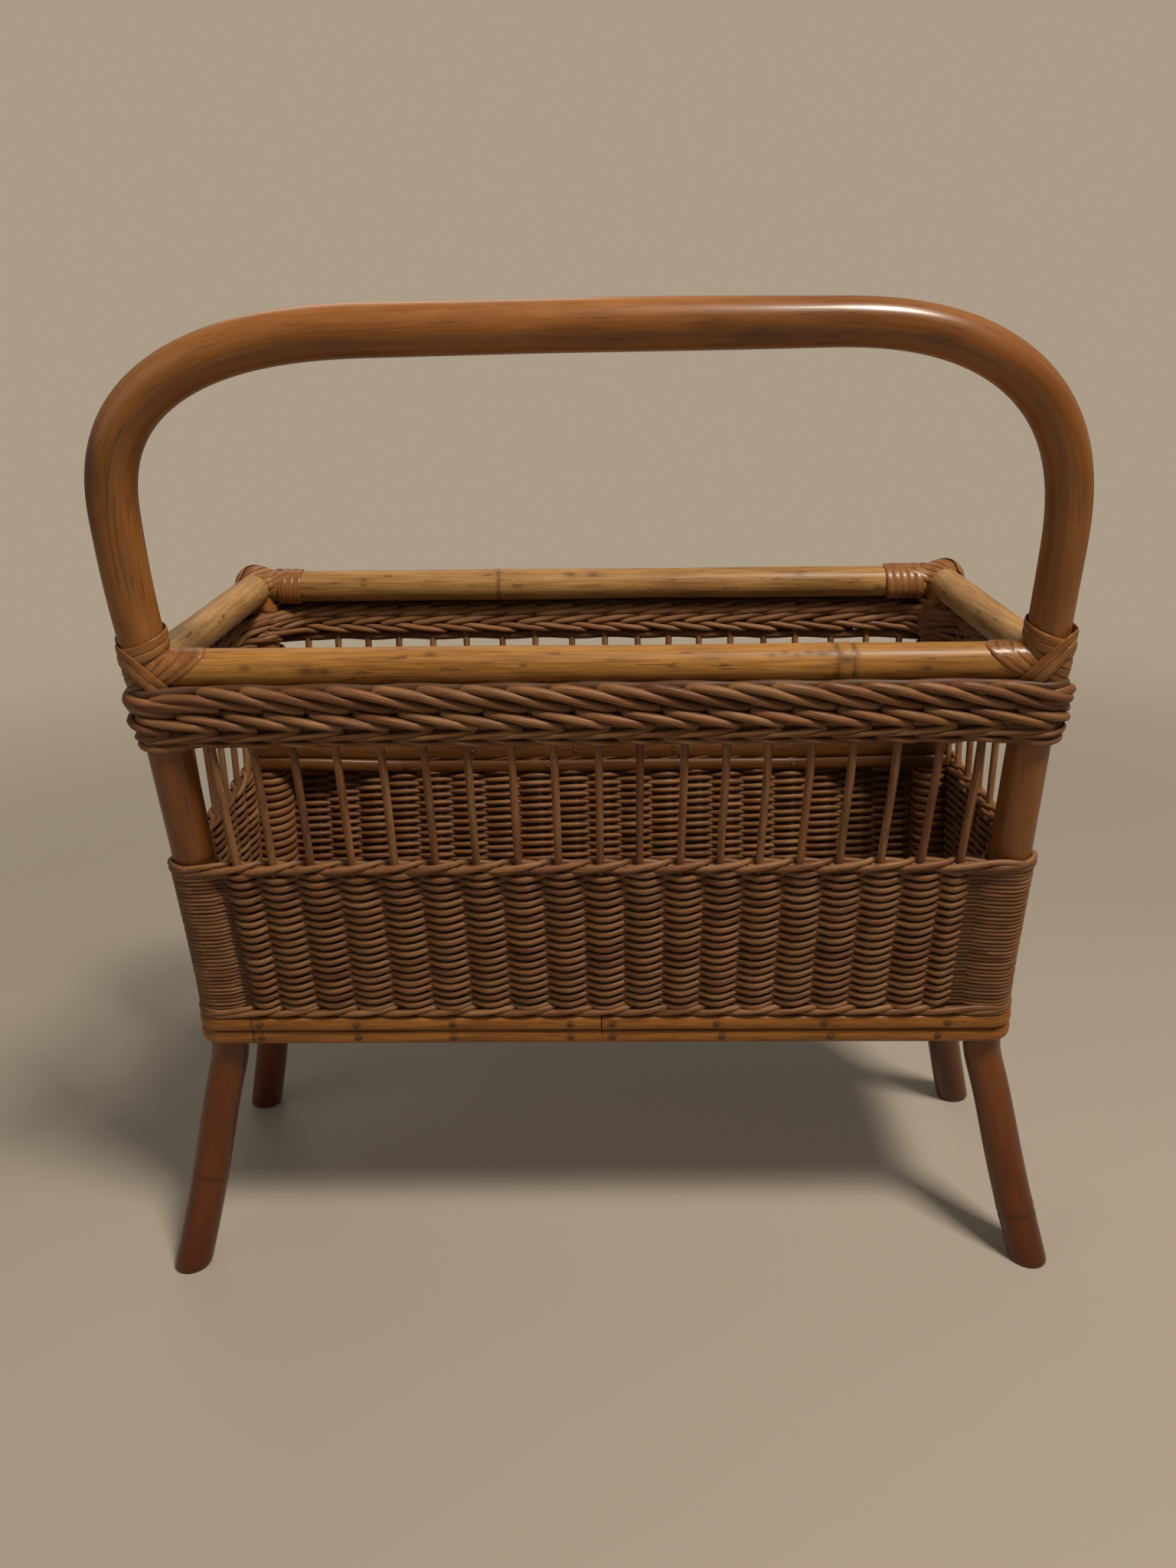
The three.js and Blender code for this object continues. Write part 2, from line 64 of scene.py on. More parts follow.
def middle_of(node):
    """The middle of a node's box, in millimetres."""
    low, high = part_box(node)
    return np.array((low + high) / 2) / MM


front_rail_middle = middle_of("front_rim_rail")
back_rail_middle = middle_of("back_rim_rail")
POST_HALF = middle_of("right_rim_rail")[0]
RIM_HEIGHT = front_rail_middle[2]
RIM_DEPTH = back_rail_middle[1] - front_rail_middle[1]
MIDDLE_Y = (back_rail_middle[1] + front_rail_middle[1]) / 2
LEAN = (RIM_DEPTH - BASE_DEPTH) / 2 / (RIM_HEIGHT - BASE_HEIGHT)
SPACE = 2 * POST_HALF / WALL_SPACES
ROUND = 2 * (WALL_SPACES + SIDE_SPACES + 2 * CORNER_SPACES)


def wall_half(height):
    """Half the depth between the posts at a height: half the base's depth plus the lean."""
    return BASE_DEPTH / 2 + (height - BASE_HEIGHT) * LEAN


def bell(away, reach):
    """One where nothing is away, fading to a third at the reach and to nothing beyond it."""
    return np.exp(-(away / reach) ** 2)


def half_width(height):
    """Half the width between the posts at a height: the poles' bends push them apart under the
    base, along a bell."""
    return POST_HALF + SPREAD * bell(height - SPREAD_HEIGHT, SPREAD_REACH)


def ring(place, offset, height):
    """Points of the walls and the ways out from them. The place counts spaces between stakes from
    the front left post to the right and on round; a corner is a quarter circle, one space long,
    about its post. The offset is outwards from the posts' centre lines. In the front and back
    walls the stakes stand unevenly, and low down the front wall's weave has drifted left."""
    place = np.mod(place, ROUND)
    drift = np.interp(place, DRIFT_PLACES, DRIFT_SHIFTS) * np.interp(height, DRIFT_HEIGHTS, DRIFT_SHARES)
    place = place + np.interp(place, UNEVEN_PLACES, UNEVEN_SHIFTS) + drift
    place, offset, height = np.broadcast_arrays(place, offset, height)
    half = wall_half(height)
    wide = half_width(height)
    x = np.zeros(place.shape)
    y = np.zeros(place.shape)
    angle = np.zeros(place.shape)
    start = 0
    walls = ((1, -1, WALL_SPACES, 1), (1, 1, SIDE_SPACES, 0),
             (-1, 1, WALL_SPACES, -1), (-1, -1, SIDE_SPACES, 0))
    for number, (side_x, side_y, spaces, along_x) in enumerate(walls):
        quarter = np.pi / 2 * (number - 1)
        share = (place - start) / spaces
        here = (share >= 0) & (share <= 1)
        if along_x:
            x = np.where(here, along_x * (2 * share - 1) * wide, x)
            y = np.where(here, side_y * (half + offset), y)
        else:
            x = np.where(here, side_x * (wide + offset), x)
            y = np.where(here, side_y * (2 * share - 1) * half, y)
        angle = np.where(here, quarter, angle)
        turn = (place - start - spaces) / CORNER_SPACES
        here = (turn > 0) & (turn < 1)
        bend = quarter + turn * np.pi / 2
        x = np.where(here, side_x * wide + offset * np.cos(bend), x)
        y = np.where(here, side_y * half + offset * np.sin(bend), y)
        angle = np.where(here, bend, angle)
        start += spaces + CORNER_SPACES
    out = np.stack([np.cos(angle), np.sin(angle), np.zeros(place.shape)], -1)
    return np.stack([x, y + MIDDLE_Y, height], -1), out


SAG_CORNER = 3.3
RISEN_CORNER = 3.8
SAG_HEIGHTS = (0, 140, 370, 450)
SAG_SHARES = (0, 1, 1, 0)


def sagged(places):
    """The basket stands askew: it has sunk at its front right corner and risen at its back left
    one. A point moves by its shares of the ways to both, and of the height from feet to handle."""
    right = np.clip((places[:, 0] + POST_HALF) / (2 * POST_HALF), 0, 1)
    front = np.clip(0.5 - (places[:, 1] - MIDDLE_Y) / RIM_DEPTH, 0, 1)
    rise = RISEN_CORNER * (1 - right) * (1 - front) - SAG_CORNER * right * front
    rise = rise * np.interp(places[:, 2], SAG_HEIGHTS, SAG_SHARES)
    return places + rise[:, None] * np.array([0.0, 0.0, 1.0])


# The poles.
# Three rattan poles carry everything: one from foot to foot over the handle, and one for each
# back post and leg. They are steamed, bent and varnished, and keep their growth rings.
POLE_RADIUS = 10.5
KINK_HEIGHT = BASE_HEIGHT - 22
KINK_REACH = 10.0
FOOT_SPLAY_X = 33.5
FOOT_SPLAY_Y = 26.7
BACK_POST_TOP = RIM_HEIGHT + 4
HANDLE_HEIGHT = RIM_HEIGHT + 144
LEFT_BEND = (122.0, 76.0)
RIGHT_BEND = (113.0, 96.0)
BEND_POWER = 0.8
BEND_POINTS = 60
KINK_POINTS = 40
LEFT_BOW = 2.2
LEFT_BOW_HEIGHT = 395.0
LEFT_BOW_REACH = 45.0
THIN_SHARE = 0.08
THIN_ACROSS = (0, 110)
THIN_DOWN = (260, 350)
TAPER_HEIGHTS = (0, 120, 300)
TAPER_SHARES = (0.96, 0.95, 1.0)
SWELLS = ((0.12, 61, 0), (0.1, 23, 1))
RING_COLLAR = (0.3, 5.0)
RING_GROOVE = (-0.45, 1.1)
RING_DARK = 0.7
CRACK_DARK = 0.5
CRACK_HALF = 0.6
CRACK_FADE = 9.0
CRACK_WAVES = (19, 7)
FOOT_EDGE = ((0.0, 0.9), (0.7, 0.97), (2.4, 1.0))
ROD_LENGTH = 900
# Painted shade: the poles' tone, and so their colour, darkens from the rim down to the feet.
SHADE_HEIGHTS = (0, 60, 140, 310, 345)
SHADE_TONES = (0.0, 0.08, 0.16, 0.24, 0.5)
POLE_SIDES = 90
POLE_STEP = 2.2
random = np.random.default_rng(11)


def unit(vectors):
    """Vectors scaled to length one."""
    return vectors / np.linalg.norm(vectors, axis=-1, keepdims=True)


def smooth_step(value, low, high):
    """Nothing below low, one above high, and an even S between them."""
    share = np.clip((value - low) / (high - low), 0, 1)
    return share * share * (3 - 2 * share)


def running_length(line):
    """How far it is along a line, or along each of several, from its start to each point."""
    steps = np.linalg.norm(np.diff(line, axis=-2), axis=-1)
    return np.concatenate([np.zeros((*steps.shape[:-1], 1)), np.cumsum(steps, -1)], -1)


def sweep(line, out, wide, tall, sides, closed=False, tone=0.5, joint=0.0):
    """Skins rods along their centre lines, held as rods by points by xyz. At each point stands an
    ellipse square to the line: its half sizes are wide along the outward direction and tall
    across it. The rod's own coordinates are the two places in that ellipse and the way along."""
    ahead = np.roll(line, -1, 1) - np.roll(line, 1, 1) if closed else np.gradient(line, axis=1)
    ahead = unit(ahead)
    out = np.broadcast_to(out, line.shape)
    out = unit(out - np.sum(out * ahead, -1, keepdims=True) * ahead)
    beside = np.cross(ahead, out)
    turn = np.arange(sides) / sides * 2 * np.pi
    first = (np.zeros(line.shape[:2]) + wide)[..., None] * np.cos(turn)
    second = (np.zeros(line.shape[:2]) + tall)[..., None] * np.sin(turn)
    skin = line[:, :, None] + first[..., None] * out[:, :, None] + second[..., None] * beside[:, :, None]
    along = running_length(line) + random.uniform(0, ROD_LENGTH, (len(line), 1))
    own = np.stack([first, second, np.broadcast_to(along[..., None], first.shape)], -1)
    tones = np.zeros(first.shape) + np.reshape(tone, (-1, 1, 1))
    joints = np.zeros(first.shape) + (np.zeros(line.shape[:2]) + joint)[..., None]
    return {"skin": skin, "own": own, "tone": tones, "joint": joints, "closed": closed}


def faces_of(count, points, sides, closed):
    """Corner numbers of the faces of swept rods: a strip of four-sided faces between each ring
    and the next, and a many-sided one at each end of an open rod."""
    number = np.arange(count * points * sides).reshape(count, points, sides)
    here = number if closed else number[:, :-1]
    there = np.roll(number, -1, 1) if closed else number[:, 1:]
    strips = np.stack([here, np.roll(here, -1, 2), np.roll(there, -1, 2), there], -1).reshape(-1, 4)
    if closed:
        return [strips]
    return [strips, number[:, 0, ::-1], number[:, -1]]


def put_in_scene(name, data):
    """An object that holds the data, linked into the scene."""
    holder = bpy.data.objects.new(name, data)
    bpy.context.scene.collection.objects.link(holder)
    return holder


def make_piece(name, shells, material, slot, *nodes):
    """One mesh from swept rods, with their own coordinates, tones and joints as attributes. It
    rides on the basket and stands for the named solids."""
    groups = []
    first = 0
    for shell in shells:
        count, points, sides = shell["tone"].shape
        groups += [group + first for group in faces_of(count, points, sides, shell["closed"])]
        first += count * points * sides
    corners = np.concatenate([group.ravel() for group in groups])
    totals = np.concatenate([np.full(len(group), group.shape[1]) for group in groups])
    places = sagged(np.concatenate([shell["skin"].reshape(-1, 3) for shell in shells])) * MM
    mesh = bpy.data.meshes.new(name)
    mesh.vertices.add(len(places))
    mesh.vertices.foreach_set("co", places.astype(np.float32).ravel())
    mesh.loops.add(len(corners))
    mesh.loops.foreach_set("vertex_index", corners.astype(np.int32))
    mesh.polygons.add(len(totals))
    mesh.polygons.foreach_set("loop_start", (np.cumsum(totals) - totals).astype(np.int32))
    mesh.polygons.foreach_set("use_smooth", totals == 4)
    mesh.update(calc_edges=True)
    own = np.concatenate([shell["own"].reshape(-1, 3) for shell in shells]) * MM
    attribute = mesh.attributes.new("rod", "FLOAT_VECTOR", "POINT")
    attribute.data.foreach_set("vector", own.astype(np.float32).ravel())
    for key in ("tone", "joint"):
        values = np.concatenate([shell[key].ravel() for shell in shells])
        attribute = mesh.attributes.new(key, "FLOAT", "POINT")
        attribute.data.foreach_set("value", values.astype(np.float32))
    mesh.materials.append(material)
    piece = put_in_scene(name, mesh)
    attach(piece, "root")
    if nodes:
        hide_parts(*nodes)


def evenly(line, step):
    """The same line with points at an even distance, found from its running length."""
    along = running_length(line)
    even = np.linspace(0, along[-1], int(round(along[-1] / step)) + 1)
    return np.stack([np.interp(even, along, column) for column in line.T], 1)


def post_line(side_x, side_y, top):
    """Centre line of a leg and post: a straight splayed leg, a short parabola where it bends
    under the basket, and a straight post that follows the leaning wall."""
    def leg(height):
        drop = (KINK_HEIGHT - height) / KINK_HEIGHT
        x = POST_HALF + drop * FOOT_SPLAY_X
        y = wall_half(KINK_HEIGHT) + drop * FOOT_SPLAY_Y
        return np.array([side_x * x, side_y * y + MIDDLE_Y, height])

    def post(height):
        return np.array([side_x * POST_HALF, side_y * wall_half(height) + MIDDLE_Y, height])

    share = np.linspace(0, 1, KINK_POINTS)[:, None]
    low, kink, high = leg(KINK_HEIGHT - KINK_REACH), post(KINK_HEIGHT), post(KINK_HEIGHT + KINK_REACH)
    bend = (1 - share) ** 2 * low + 2 * share * (1 - share) * kink + share ** 2 * high
    line = evenly(np.concatenate([leg(0)[None], bend, post(top)[None]]), POLE_STEP)
    line[:, 0] += side_x * (half_width(line[:, 2]) - POST_HALF)
    return line


def handle_bend(side_x, reach, rise):
    """A quarter of a squared ellipse in the front wall's leaning plane, from the post up to the
    top bar: the sine and cosine are raised to a power below one."""
    turn = np.linspace(0, np.pi / 2, BEND_POINTS)[1:-1]
    height = HANDLE_HEIGHT - rise + rise * np.sin(turn) ** BEND_POWER
    x = side_x * (POST_HALF - reach + reach * np.cos(turn) ** BEND_POWER)
    return np.stack([x, MIDDLE_Y - wall_half(height), height], 1)


def thinner(line):
    """How much of its radius the hoop loses: an even S from nothing at the middle of the handle
    to its full share at the right bend, and back to nothing down the right post."""
    return THIN_SHARE * smooth_step(line[:, 0], *THIN_ACROSS) * np.interp(line[:, 2], THIN_DOWN, (0, 1))


def pole_swell(along, rings):
    """How a pole's radius varies: a slow swell, and a low collar with a groove at each ring."""
    swell = sum(size * np.sin(along / length + start) for size, length, start in SWELLS)
    for place in rings:
        for size, reach in (RING_COLLAR, RING_GROOVE):
            swell = swell + size * bell(along - place, reach)
    return swell


def ring_marks(along, rings):
    """A dark mark on each growth ring, which fades within two millimetres."""
    marks = (RING_DARK * bell(along - place, RING_GROOVE[1]) for place in rings)
    return sum(marks, np.zeros(along.shape))


def mark_cracks(shell, along, cracks):
    """Darkens thin lines along a pole. Each crack has its turn round the pole in degrees, where
    it starts and ends along it, and how much it wanders."""
    own = shell["own"][0]
    angle = np.degrees(np.arctan2(own[..., 1], own[..., 0]))
    radius = np.hypot(own[..., 0], own[..., 1])
    for turn, start, end, wander in cracks:
        long_wave, short_wave = (along / wave for wave in CRACK_WAVES)
        middle = turn + wander * np.sin(long_wave + turn) + wander / 2 * np.sin(short_wave)
        away = np.radians(np.mod(angle - middle[:, None] + 180, 360) - 180) * radius
        inside = np.clip(np.minimum(along - start, end - along) / CRACK_FADE, 0, 1)[:, None]
        mark = CRACK_DARK * inside * bell(away, CRACK_HALF)
        shell["joint"][0] = np.maximum(shell["joint"][0], mark)


def mark_spots(shell, spots, stretch=(2.2, 1, 1), strength=0.8):
    """Darkens worn spots. Each has its place and reach, and is drawn out by the stretch."""
    for x, y, z, reach in spots:
        away = (shell["skin"] - np.array([x, y, z])) / np.array(stretch)
        mark = strength * bell(np.linalg.norm(away, axis=-1), reach)
        shell["joint"] = np.maximum(shell["joint"], mark)


def rattan_pole(line, out, radius, rings, feet=(), cracks=(), sides=POLE_SIDES):
    """A round pole with growth rings, darker lower down as painted shade. A foot's last rings are slid
    along the pole to lie level, so that it stands flat on the floor with a worn edge."""
    along = running_length(line)
    size = (radius + pole_swell(along, rings)) * np.interp(line[:, 2], TAPER_HEIGHTS, TAPER_SHARES)
    shell = sweep(line[None], np.array(out, float), size, size, sides, joint=ring_marks(along, rings))
    # Painted shade: the tone falls lower down the pole, which darkens it.
    shell["tone"] = np.interp(shell["skin"][..., 2], SHADE_HEIGHTS, SHADE_TONES)
    mark_cracks(shell, along, cracks)
    for end in feet:
        ahead = unit(line[1] - line[0]) if end == 0 else unit(line[-2] - line[-1])
        for ring_number, (height, share) in enumerate(FOOT_EDGE):
            number = ring_number if end == 0 else -1 - ring_number
            ring_skin = shell["skin"][0, number]
            centre = line[number]
            ring_skin[:] = centre + (ring_skin - centre) * share
            ring_skin -= ahead * ((ring_skin[:, 2] - height) / ahead[2])[:, None]
    return shell


def linear(colour):
    """An sRGB hex colour as linear light: a 2.4 power curve with a straight foot near black."""
    parts = np.array([int(colour[start:start + 2], 16) for start in (1, 3, 5)]) / 255
    parts = np.where(parts <= 0.04045, parts / 12.92, ((parts + 0.055) / 1.055) ** 2.4)
    return (*parts.tolist(), 1.0)


def fill_node(owner, node, inputs):
    """Gives a node's inputs their values, or links them to the outputs of other nodes. The owner
    is a material or the world."""
    for key, value in inputs.items():
        if isinstance(value, bpy.types.NodeSocket):
            owner.node_tree.links.new(value, node.inputs[key])
        else:
            node.inputs[key].default_value = value


def add_node(owner, kind, inputs=None, stops=None, **settings):
    """Adds a shader node of a kind, sets it, fills its inputs, and gives a ramp its colours."""
    node = owner.node_tree.nodes.new("ShaderNode" + kind)
    for key, value in settings.items():
        setattr(node, key, value)
    fill_node(owner, node, inputs or {})
    if stops:
        ramp = node.color_ramp
        while len(ramp.elements) < len(stops):
            ramp.elements.new(0.5)
        for element, (place, colour) in zip(ramp.elements, stops):
            element.position = place
            element.color = linear(colour)
    return node


def new_material(name):
    """An empty material and its surface shader."""
    material = bpy.data.materials.new(name)
    material.use_nodes = True
    return material, material.node_tree.nodes["Principled BSDF"]


# How far the fibres, blotches and specks are drawn out along the rod, and how specks begin.
FIBRE_STRETCH = (1, 1, 0.035)
BLOTCH_STRETCH = (1, 1, 0.22)
SPECK_STRETCH = (1, 1, 0.16)
SPECK_WIDTH = 2.4
SPECK_FROM = 0.645
SPECK_TO = 0.71


def fibre_material(name, stops, fibre, blotch, roughness, coat, bump, dark, specks, tints, cloud=0.5):
    """A material whose grain follows the rod: noise drawn out along it for the fibres, a larger
    one for the blotches, both through one ramp of colours, a tint from each rod's tone, short dark
    specks, and darkening from its joint marks: growth rings, cracks, spots, nails, seams and
    gaps. On some rods the tone and the joint marks are painted shade. The fibre and blotch are
    widths in millimetres, and the cloud is the share of the blotches in the colour."""
    material, shader = new_material(name)
    rod = add_node(material, "Attribute", attribute_name="rod").outputs["Vector"]
    patterns = []
    for stretch, width, detail, rough in ((FIBRE_STRETCH, fibre, 4.0, 0.68),
                                          (BLOTCH_STRETCH, blotch, 4.0, 0.6),
                                          (SPECK_STRETCH, SPECK_WIDTH, 2.0, 0.5)):
        drawn = add_node(material, "Mapping", {"Vector": rod, "Scale": stretch})
        patterns.append(add_node(material, "TexNoise", {
            "Vector": drawn.outputs[0], "Scale": 1 / (width * MM), "Detail": detail,
            "Roughness": rough}).outputs["Fac"])
    fibres, blotches, scatter = patterns
    both = add_node(material, "Mix", {0: cloud, 2: fibres, 3: blotches}, data_type="FLOAT")
    colour = add_node(material, "ValToRGB", {"Fac": both.outputs[0]}, stops).outputs[0]
    tone = add_node(material, "Attribute", attribute_name="tone").outputs["Fac"]
    tint = add_node(material, "ValToRGB", {"Fac": tone}, tints).outputs[0]
    colour = add_node(material, "Mix", {
        0: 1.0, 6: colour, 7: tint}, data_type="RGBA", blend_type="MULTIPLY").outputs[2]
    spot = add_node(material, "MapRange", {
        "Value": scatter, "From Min": SPECK_FROM, "From Max": SPECK_TO, "To Max": specks})
    joint = add_node(material, "Attribute", attribute_name="joint").outputs["Fac"]
    for mark in (spot.outputs[0], joint):
        colour = add_node(material, "Mix", {
            0: mark, 6: colour, 7: linear(dark)}, data_type="RGBA").outputs[2]
    rough = add_node(material, "MapRange", {
        "Value": blotches, "From Min": 0.3, "From Max": 0.7,
        "To Min": roughness - 0.08, "To Max": roughness + 0.1})
    relief = add_node(material, "Bump", {
        "Height": fibres, "Strength": 0.8, "Distance": bump * MM})
    fill_node(material, shader, {
        "Base Color": colour, "Roughness": rough.outputs[0], "Normal": relief.outputs[0],
        "IOR": 1.47, "Specular IOR Level": 0.3,
        "Coat Weight": coat, "Coat Roughness": 0.16, "Coat IOR": 1.45})
    return material


# Steamed rattan under a brown varnish: cloudy patches where the varnish pooled, faint long
# fibres, a few dark specks, a gloss, and a tint that darkens it lower down as painted shade.
pole_material = fibre_material(
    "varnished_rattan_pole",
    [(0.32, "#653c17"), (0.43, "#784920"), (0.52, "#885627"), (0.61, "#93602d"), (0.72, "#a27039")],
    fibre=1.2, blotch=30, roughness=0.38, coat=0.32, bump=0.06, dark="#2a170b", specks=0.3,
    tints=[(0.0, "#966410"), (0.5, "#ffffff")], cloud=0.72)

left_line = post_line(-1, -1, HANDLE_HEIGHT - LEFT_BEND[1])
right_line = post_line(1, -1, HANDLE_HEIGHT - RIGHT_BEND[1])
bends = [handle_bend(-1, *LEFT_BEND), handle_bend(1, *RIGHT_BEND)[::-1]]
hoop = evenly(np.concatenate([left_line, *bends, right_line[::-1]]), POLE_STEP)
hoop[:, 0] -= LEFT_BOW * bell(hoop[:, 2] - LEFT_BOW_HEIGHT, LEFT_BOW_REACH) * (hoop[:, 0] < 0)
hoop_ahead = unit(np.gradient(hoop, axis=0))
hoop_outer = np.stack([-hoop_ahead[:, 2], 0 * hoop_ahead[:, 0], hoop_ahead[:, 0]], 1)
hoop -= hoop_outer * (POLE_RADIUS * thinner(hoop))[:, None]
HOOP_RINGS = (58, 262, 1108, 1330)
HOOP_CRACKS = ((8, 422, 490, 5), (3, 404, 470, 3), (21, 398, 456, 3))
HOOP_KNOT = ((105.8, -115.0, 505.4, 2.3),)
HOOP_STAINS = ((69.4, -114.0, 495.4, 4.0), (89.3, -114.5, 505.5, 3.0), (65.6, -115.0, 506.0, 2.6),
               (50.0, -115.5, 500.0, 3.5), (140.0, -114.0, 492.0, 4.0))
HOOP_SCARS = ((-208.5, -102.0, 452.0, 7.0), (-213.0, -98.0, 436.0, 6.0))
hoop_radius = POLE_RADIUS * (1 - thinner(hoop))
hoop_shell = rattan_pole(hoop, (0, -1, -LEAN), hoop_radius, HOOP_RINGS, (0, -1), HOOP_CRACKS)
mark_spots(hoop_shell, HOOP_KNOT, (1.2, 1, 1), 0.75)
mark_spots(hoop_shell, HOOP_STAINS, (3.0, 1, 1), 0.4)
mark_spots(hoop_shell, HOOP_SCARS, (1, 1, 2.4), 0.62)
make_piece("handle_pole", [hoop_shell], pole_material, "pole", "handle_hoop")

for side, side_x, post_rings in (("left", -1, (96, 301)), ("right", 1, (71, 322))):
    line = post_line(side_x, 1, BACK_POST_TOP - 1)
    shell = rattan_pole(line, (0, 1, -LEAN), POLE_RADIUS, post_rings, feet=(0,))
    make_piece(f"back_{side}_pole", [shell], pole_material, "pole", f"back_{side}_post")


# The rails.
# Straight rattan rods between the posts: four at the rim, and four thin-skinned ones hidden
# behind the base strips. The rim's are paler than the poles, with knots and a growth ring.
RAIL_RADIUS = 9.0
RAIL_STEP = 1.5
RAIL_SIDES = 48

# Rattan with its skin on under clear varnish: honey coloured, streaked along, with a soft
# gloss.
rail_material = fibre_material(
    "honey_rattan_rail",
    [(0.3, "#6b4b28"), (0.42, "#866339"), (0.51, "#9d784a"), (0.6, "#ae8a5a"), (0.72, "#c09d6f")],
    fibre=1.1, blotch=20, roughness=0.48, coat=0.05, bump=0.07, dark="#38210f", specks=0.6,
    tints=[(0.0, "#f5dfae"), (1.0, "#ffffff")])

RIM_RINGS = {"front": (315.7, 323.6), "back": (146.3,), "left": (), "right": ()}
BASE_RINGS = {"front": (150,), "back": (230,), "left": (), "right": ()}
RAIL_TONES = {"front": 0.0, "back": 0.6, "left": 0.8, "right": 0.8}
RAIL_SPOTS = {
    "front": [(-131.7, 356.5, 2.2), (-124.0, 356.0, 1.6), (-75.1, 362.9, 1.3), (-160.0, 358.0, 1.2),
              (80.0, 361.6, 1.0), (86.0, 362.2, 1.0), (91.5, 361.6, 1.0), (97.0, 362.2, 1.1),
              (102.5, 361.8, 1.2), (108.0, 362.4, 1.2), (113.5, 359.5, 2.4), (150.0, 355.0, 1.2)],
    "back": [(-16.2, 362.8, 1.6), (-2.5, 362.6, 1.6), (-140.0, 361.0, 1.0), (120.0, 361.5, 1.2)],
    "left": [], "right": []}


def on_front_of(centre, x, z):
    """The point on the front of a rail that runs along X, at a place along it and a height."""
    in_front = np.sqrt(max(RAIL_RADIUS ** 2 - (z - centre[2]) ** 2, 1))
    return x, centre[1] - in_front, z


for level, rings_by_wall in (("rim", RIM_RINGS), ("base", BASE_RINGS)):
    for wall, rings in rings_by_wall.items():
        centre = middle_of(f"{wall}_{level}_rail")
        if wall in ("front", "back"):
            ends = [(x, centre[1], centre[2]) for x in (-POST_HALF, POST_HALF)]
        else:
            half = wall_half(centre[2])
            ends = [(centre[0], y, centre[2]) for y in (MIDDLE_Y - half, MIDDLE_Y + half)]
        line = evenly(np.array(ends), RAIL_STEP)
        share = np.interp(centre[2], TAPER_HEIGHTS, TAPER_SHARES)
        shell = rattan_pole(line, (0, 0, 1), RAIL_RADIUS / share, rings, sides=RAIL_SIDES)
        if level == "rim":
            mark_spots(shell, [(*on_front_of(centre, x, z), reach) for x, z, reach in RAIL_SPOTS[wall]])
        shell["tone"][:] = RAIL_TONES[wall]
        make_piece(f"{wall}_{level}_rod", [shell], rail_material, "rail", f"{wall}_{level}_rail")


# The base board.
# A thin board lies on the base rails and carries what the basket holds. It is planed softwood
# without varnish.
BOARD_GRAIN = 2.2
board_material, board_shader = new_material("planed_board")
board_place = add_node(board_material, "TexCoord").outputs["Object"]
board_drawn = add_node(board_material, "Mapping", {"Vector": board_place, "Scale": (0.06, 1, 1)})
board_grain = add_node(board_material, "TexNoise", {
    "Vector": board_drawn.outputs[0], "Scale": 1 / (BOARD_GRAIN * MM), "Detail": 5.0,
    "Roughness": 0.6, "Distortion": 0.4}).outputs["Fac"]
board_colours = add_node(board_material, "ValToRGB", {"Fac": board_grain}, stops=[
    (0.3, "#7a5632"), (0.5, "#9b7345"), (0.7, "#b08a5a")])
board_relief = add_node(board_material, "Bump", {
    "Height": board_grain, "Strength": 0.5, "Distance": 0.15 * MM})
fill_node(board_material, board_shader, {
    "Base Color": board_colours.outputs["Color"], "Normal": board_relief.outputs[0], "Roughness": 0.62})
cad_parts["base_board"].data.materials.clear()
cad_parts["base_board"].data.materials.append(board_material)


# The stakes and the border.
# Willow stakes stand in every wall. At the top each bends over to the right and lies down
# outside the next two: that is the border's thick upper row.
STAKE_OFFSET = 8.5
STAKE_RADIUS = 2.0
STAKE_FOOT = BASE_HEIGHT - 7.5
PRESSED_FROM = (0, 300, 318, 350, 360)
PRESSED_TO = (0, 300, 319.3, 348.1, 357)
BACK_PLACES = (28, 30, 38, 48, 50)
BACK_LIFTS = (0, 2.6, 4.0, 4.4, 0)
LIFT_HEIGHTS = (305, 319, 346)
STAKE_SIDES = 10
STAKE_POINTS = 110
STAKE_SHAKE = 0.045
TOP_FROM = 336
TOP_DIP = 2.0
TOP_THICKER = 0.32
TOP_HEIGHTS = (338, 344)
BENT_FROM = 0.02
WEAVER_SIDES = 8
AT_POST_REACH = 1.5
ROD_SHAKES = np.array([0.05, 0.25, 0.35])[:, None, None]
ROD_SPREAD = (0.88, 1.02)
# Painted shade: how dark each level rod inside the plait is made, darkest under the rail.
CORE_HEIGHTS = np.array([349.2, 343.6, 337.8, 332.0, 325.6, 319.4])[:, None]
CORE_PAINTED_SHADES = np.array([0.7, 0.5, 0.4, 0.3, 0.3, 0.3])[:, None]
CORE_RODS = len(CORE_HEIGHTS)
CORE_POINTS = 6
CORE_HALF = (1.9, 2.6)
CORE_WAVES = (0.6, 0.4)
CORE_AT_POST = (2.6, -1.5)
COLLAR_HEIGHT = 318.4
COLLAR_TILT = 0.9
COLLAR_REACH = 12.3
COLLAR_HALF = (1.5, 1.8)
COLLAR_POINTS = 40
CORNERS = ((-1, -1), (-1, 1), (1, -1), (1, 1))


def through(keys, count):
    """A smooth run through key points: straight runs between them, then rounded off by a moving
    average two thirds of a run wide."""
    keys = np.array(keys, float)
    dense = np.linspace(0, len(keys) - 1, count)
    run = np.stack([np.interp(dense, np.arange(len(keys)), column) for column in keys.T], 1)
    half = max(1, int(count / (len(keys) - 1) / 3))
    padded = np.concatenate([np.repeat(run[:1], half, 0), run, np.repeat(run[-1:], half, 0)])
    kernel = np.ones(2 * half + 1) / (2 * half + 1)
    return np.stack([np.convolve(column, kernel, "valid") for column in padded.T], 1)


def round_ends(line, radius, start=True):
    """Radii along a rod whose ends, or the last one alone, close as half balls."""
    along = running_length(line)
    from_start = along / radius if start else np.ones(along.shape)
    from_end = (along[:, -1:] - along) / radius
    near = np.clip(np.minimum(from_start, from_end), 0.02, 1)
    return radius * np.sqrt(1 - (1 - near) ** 2)


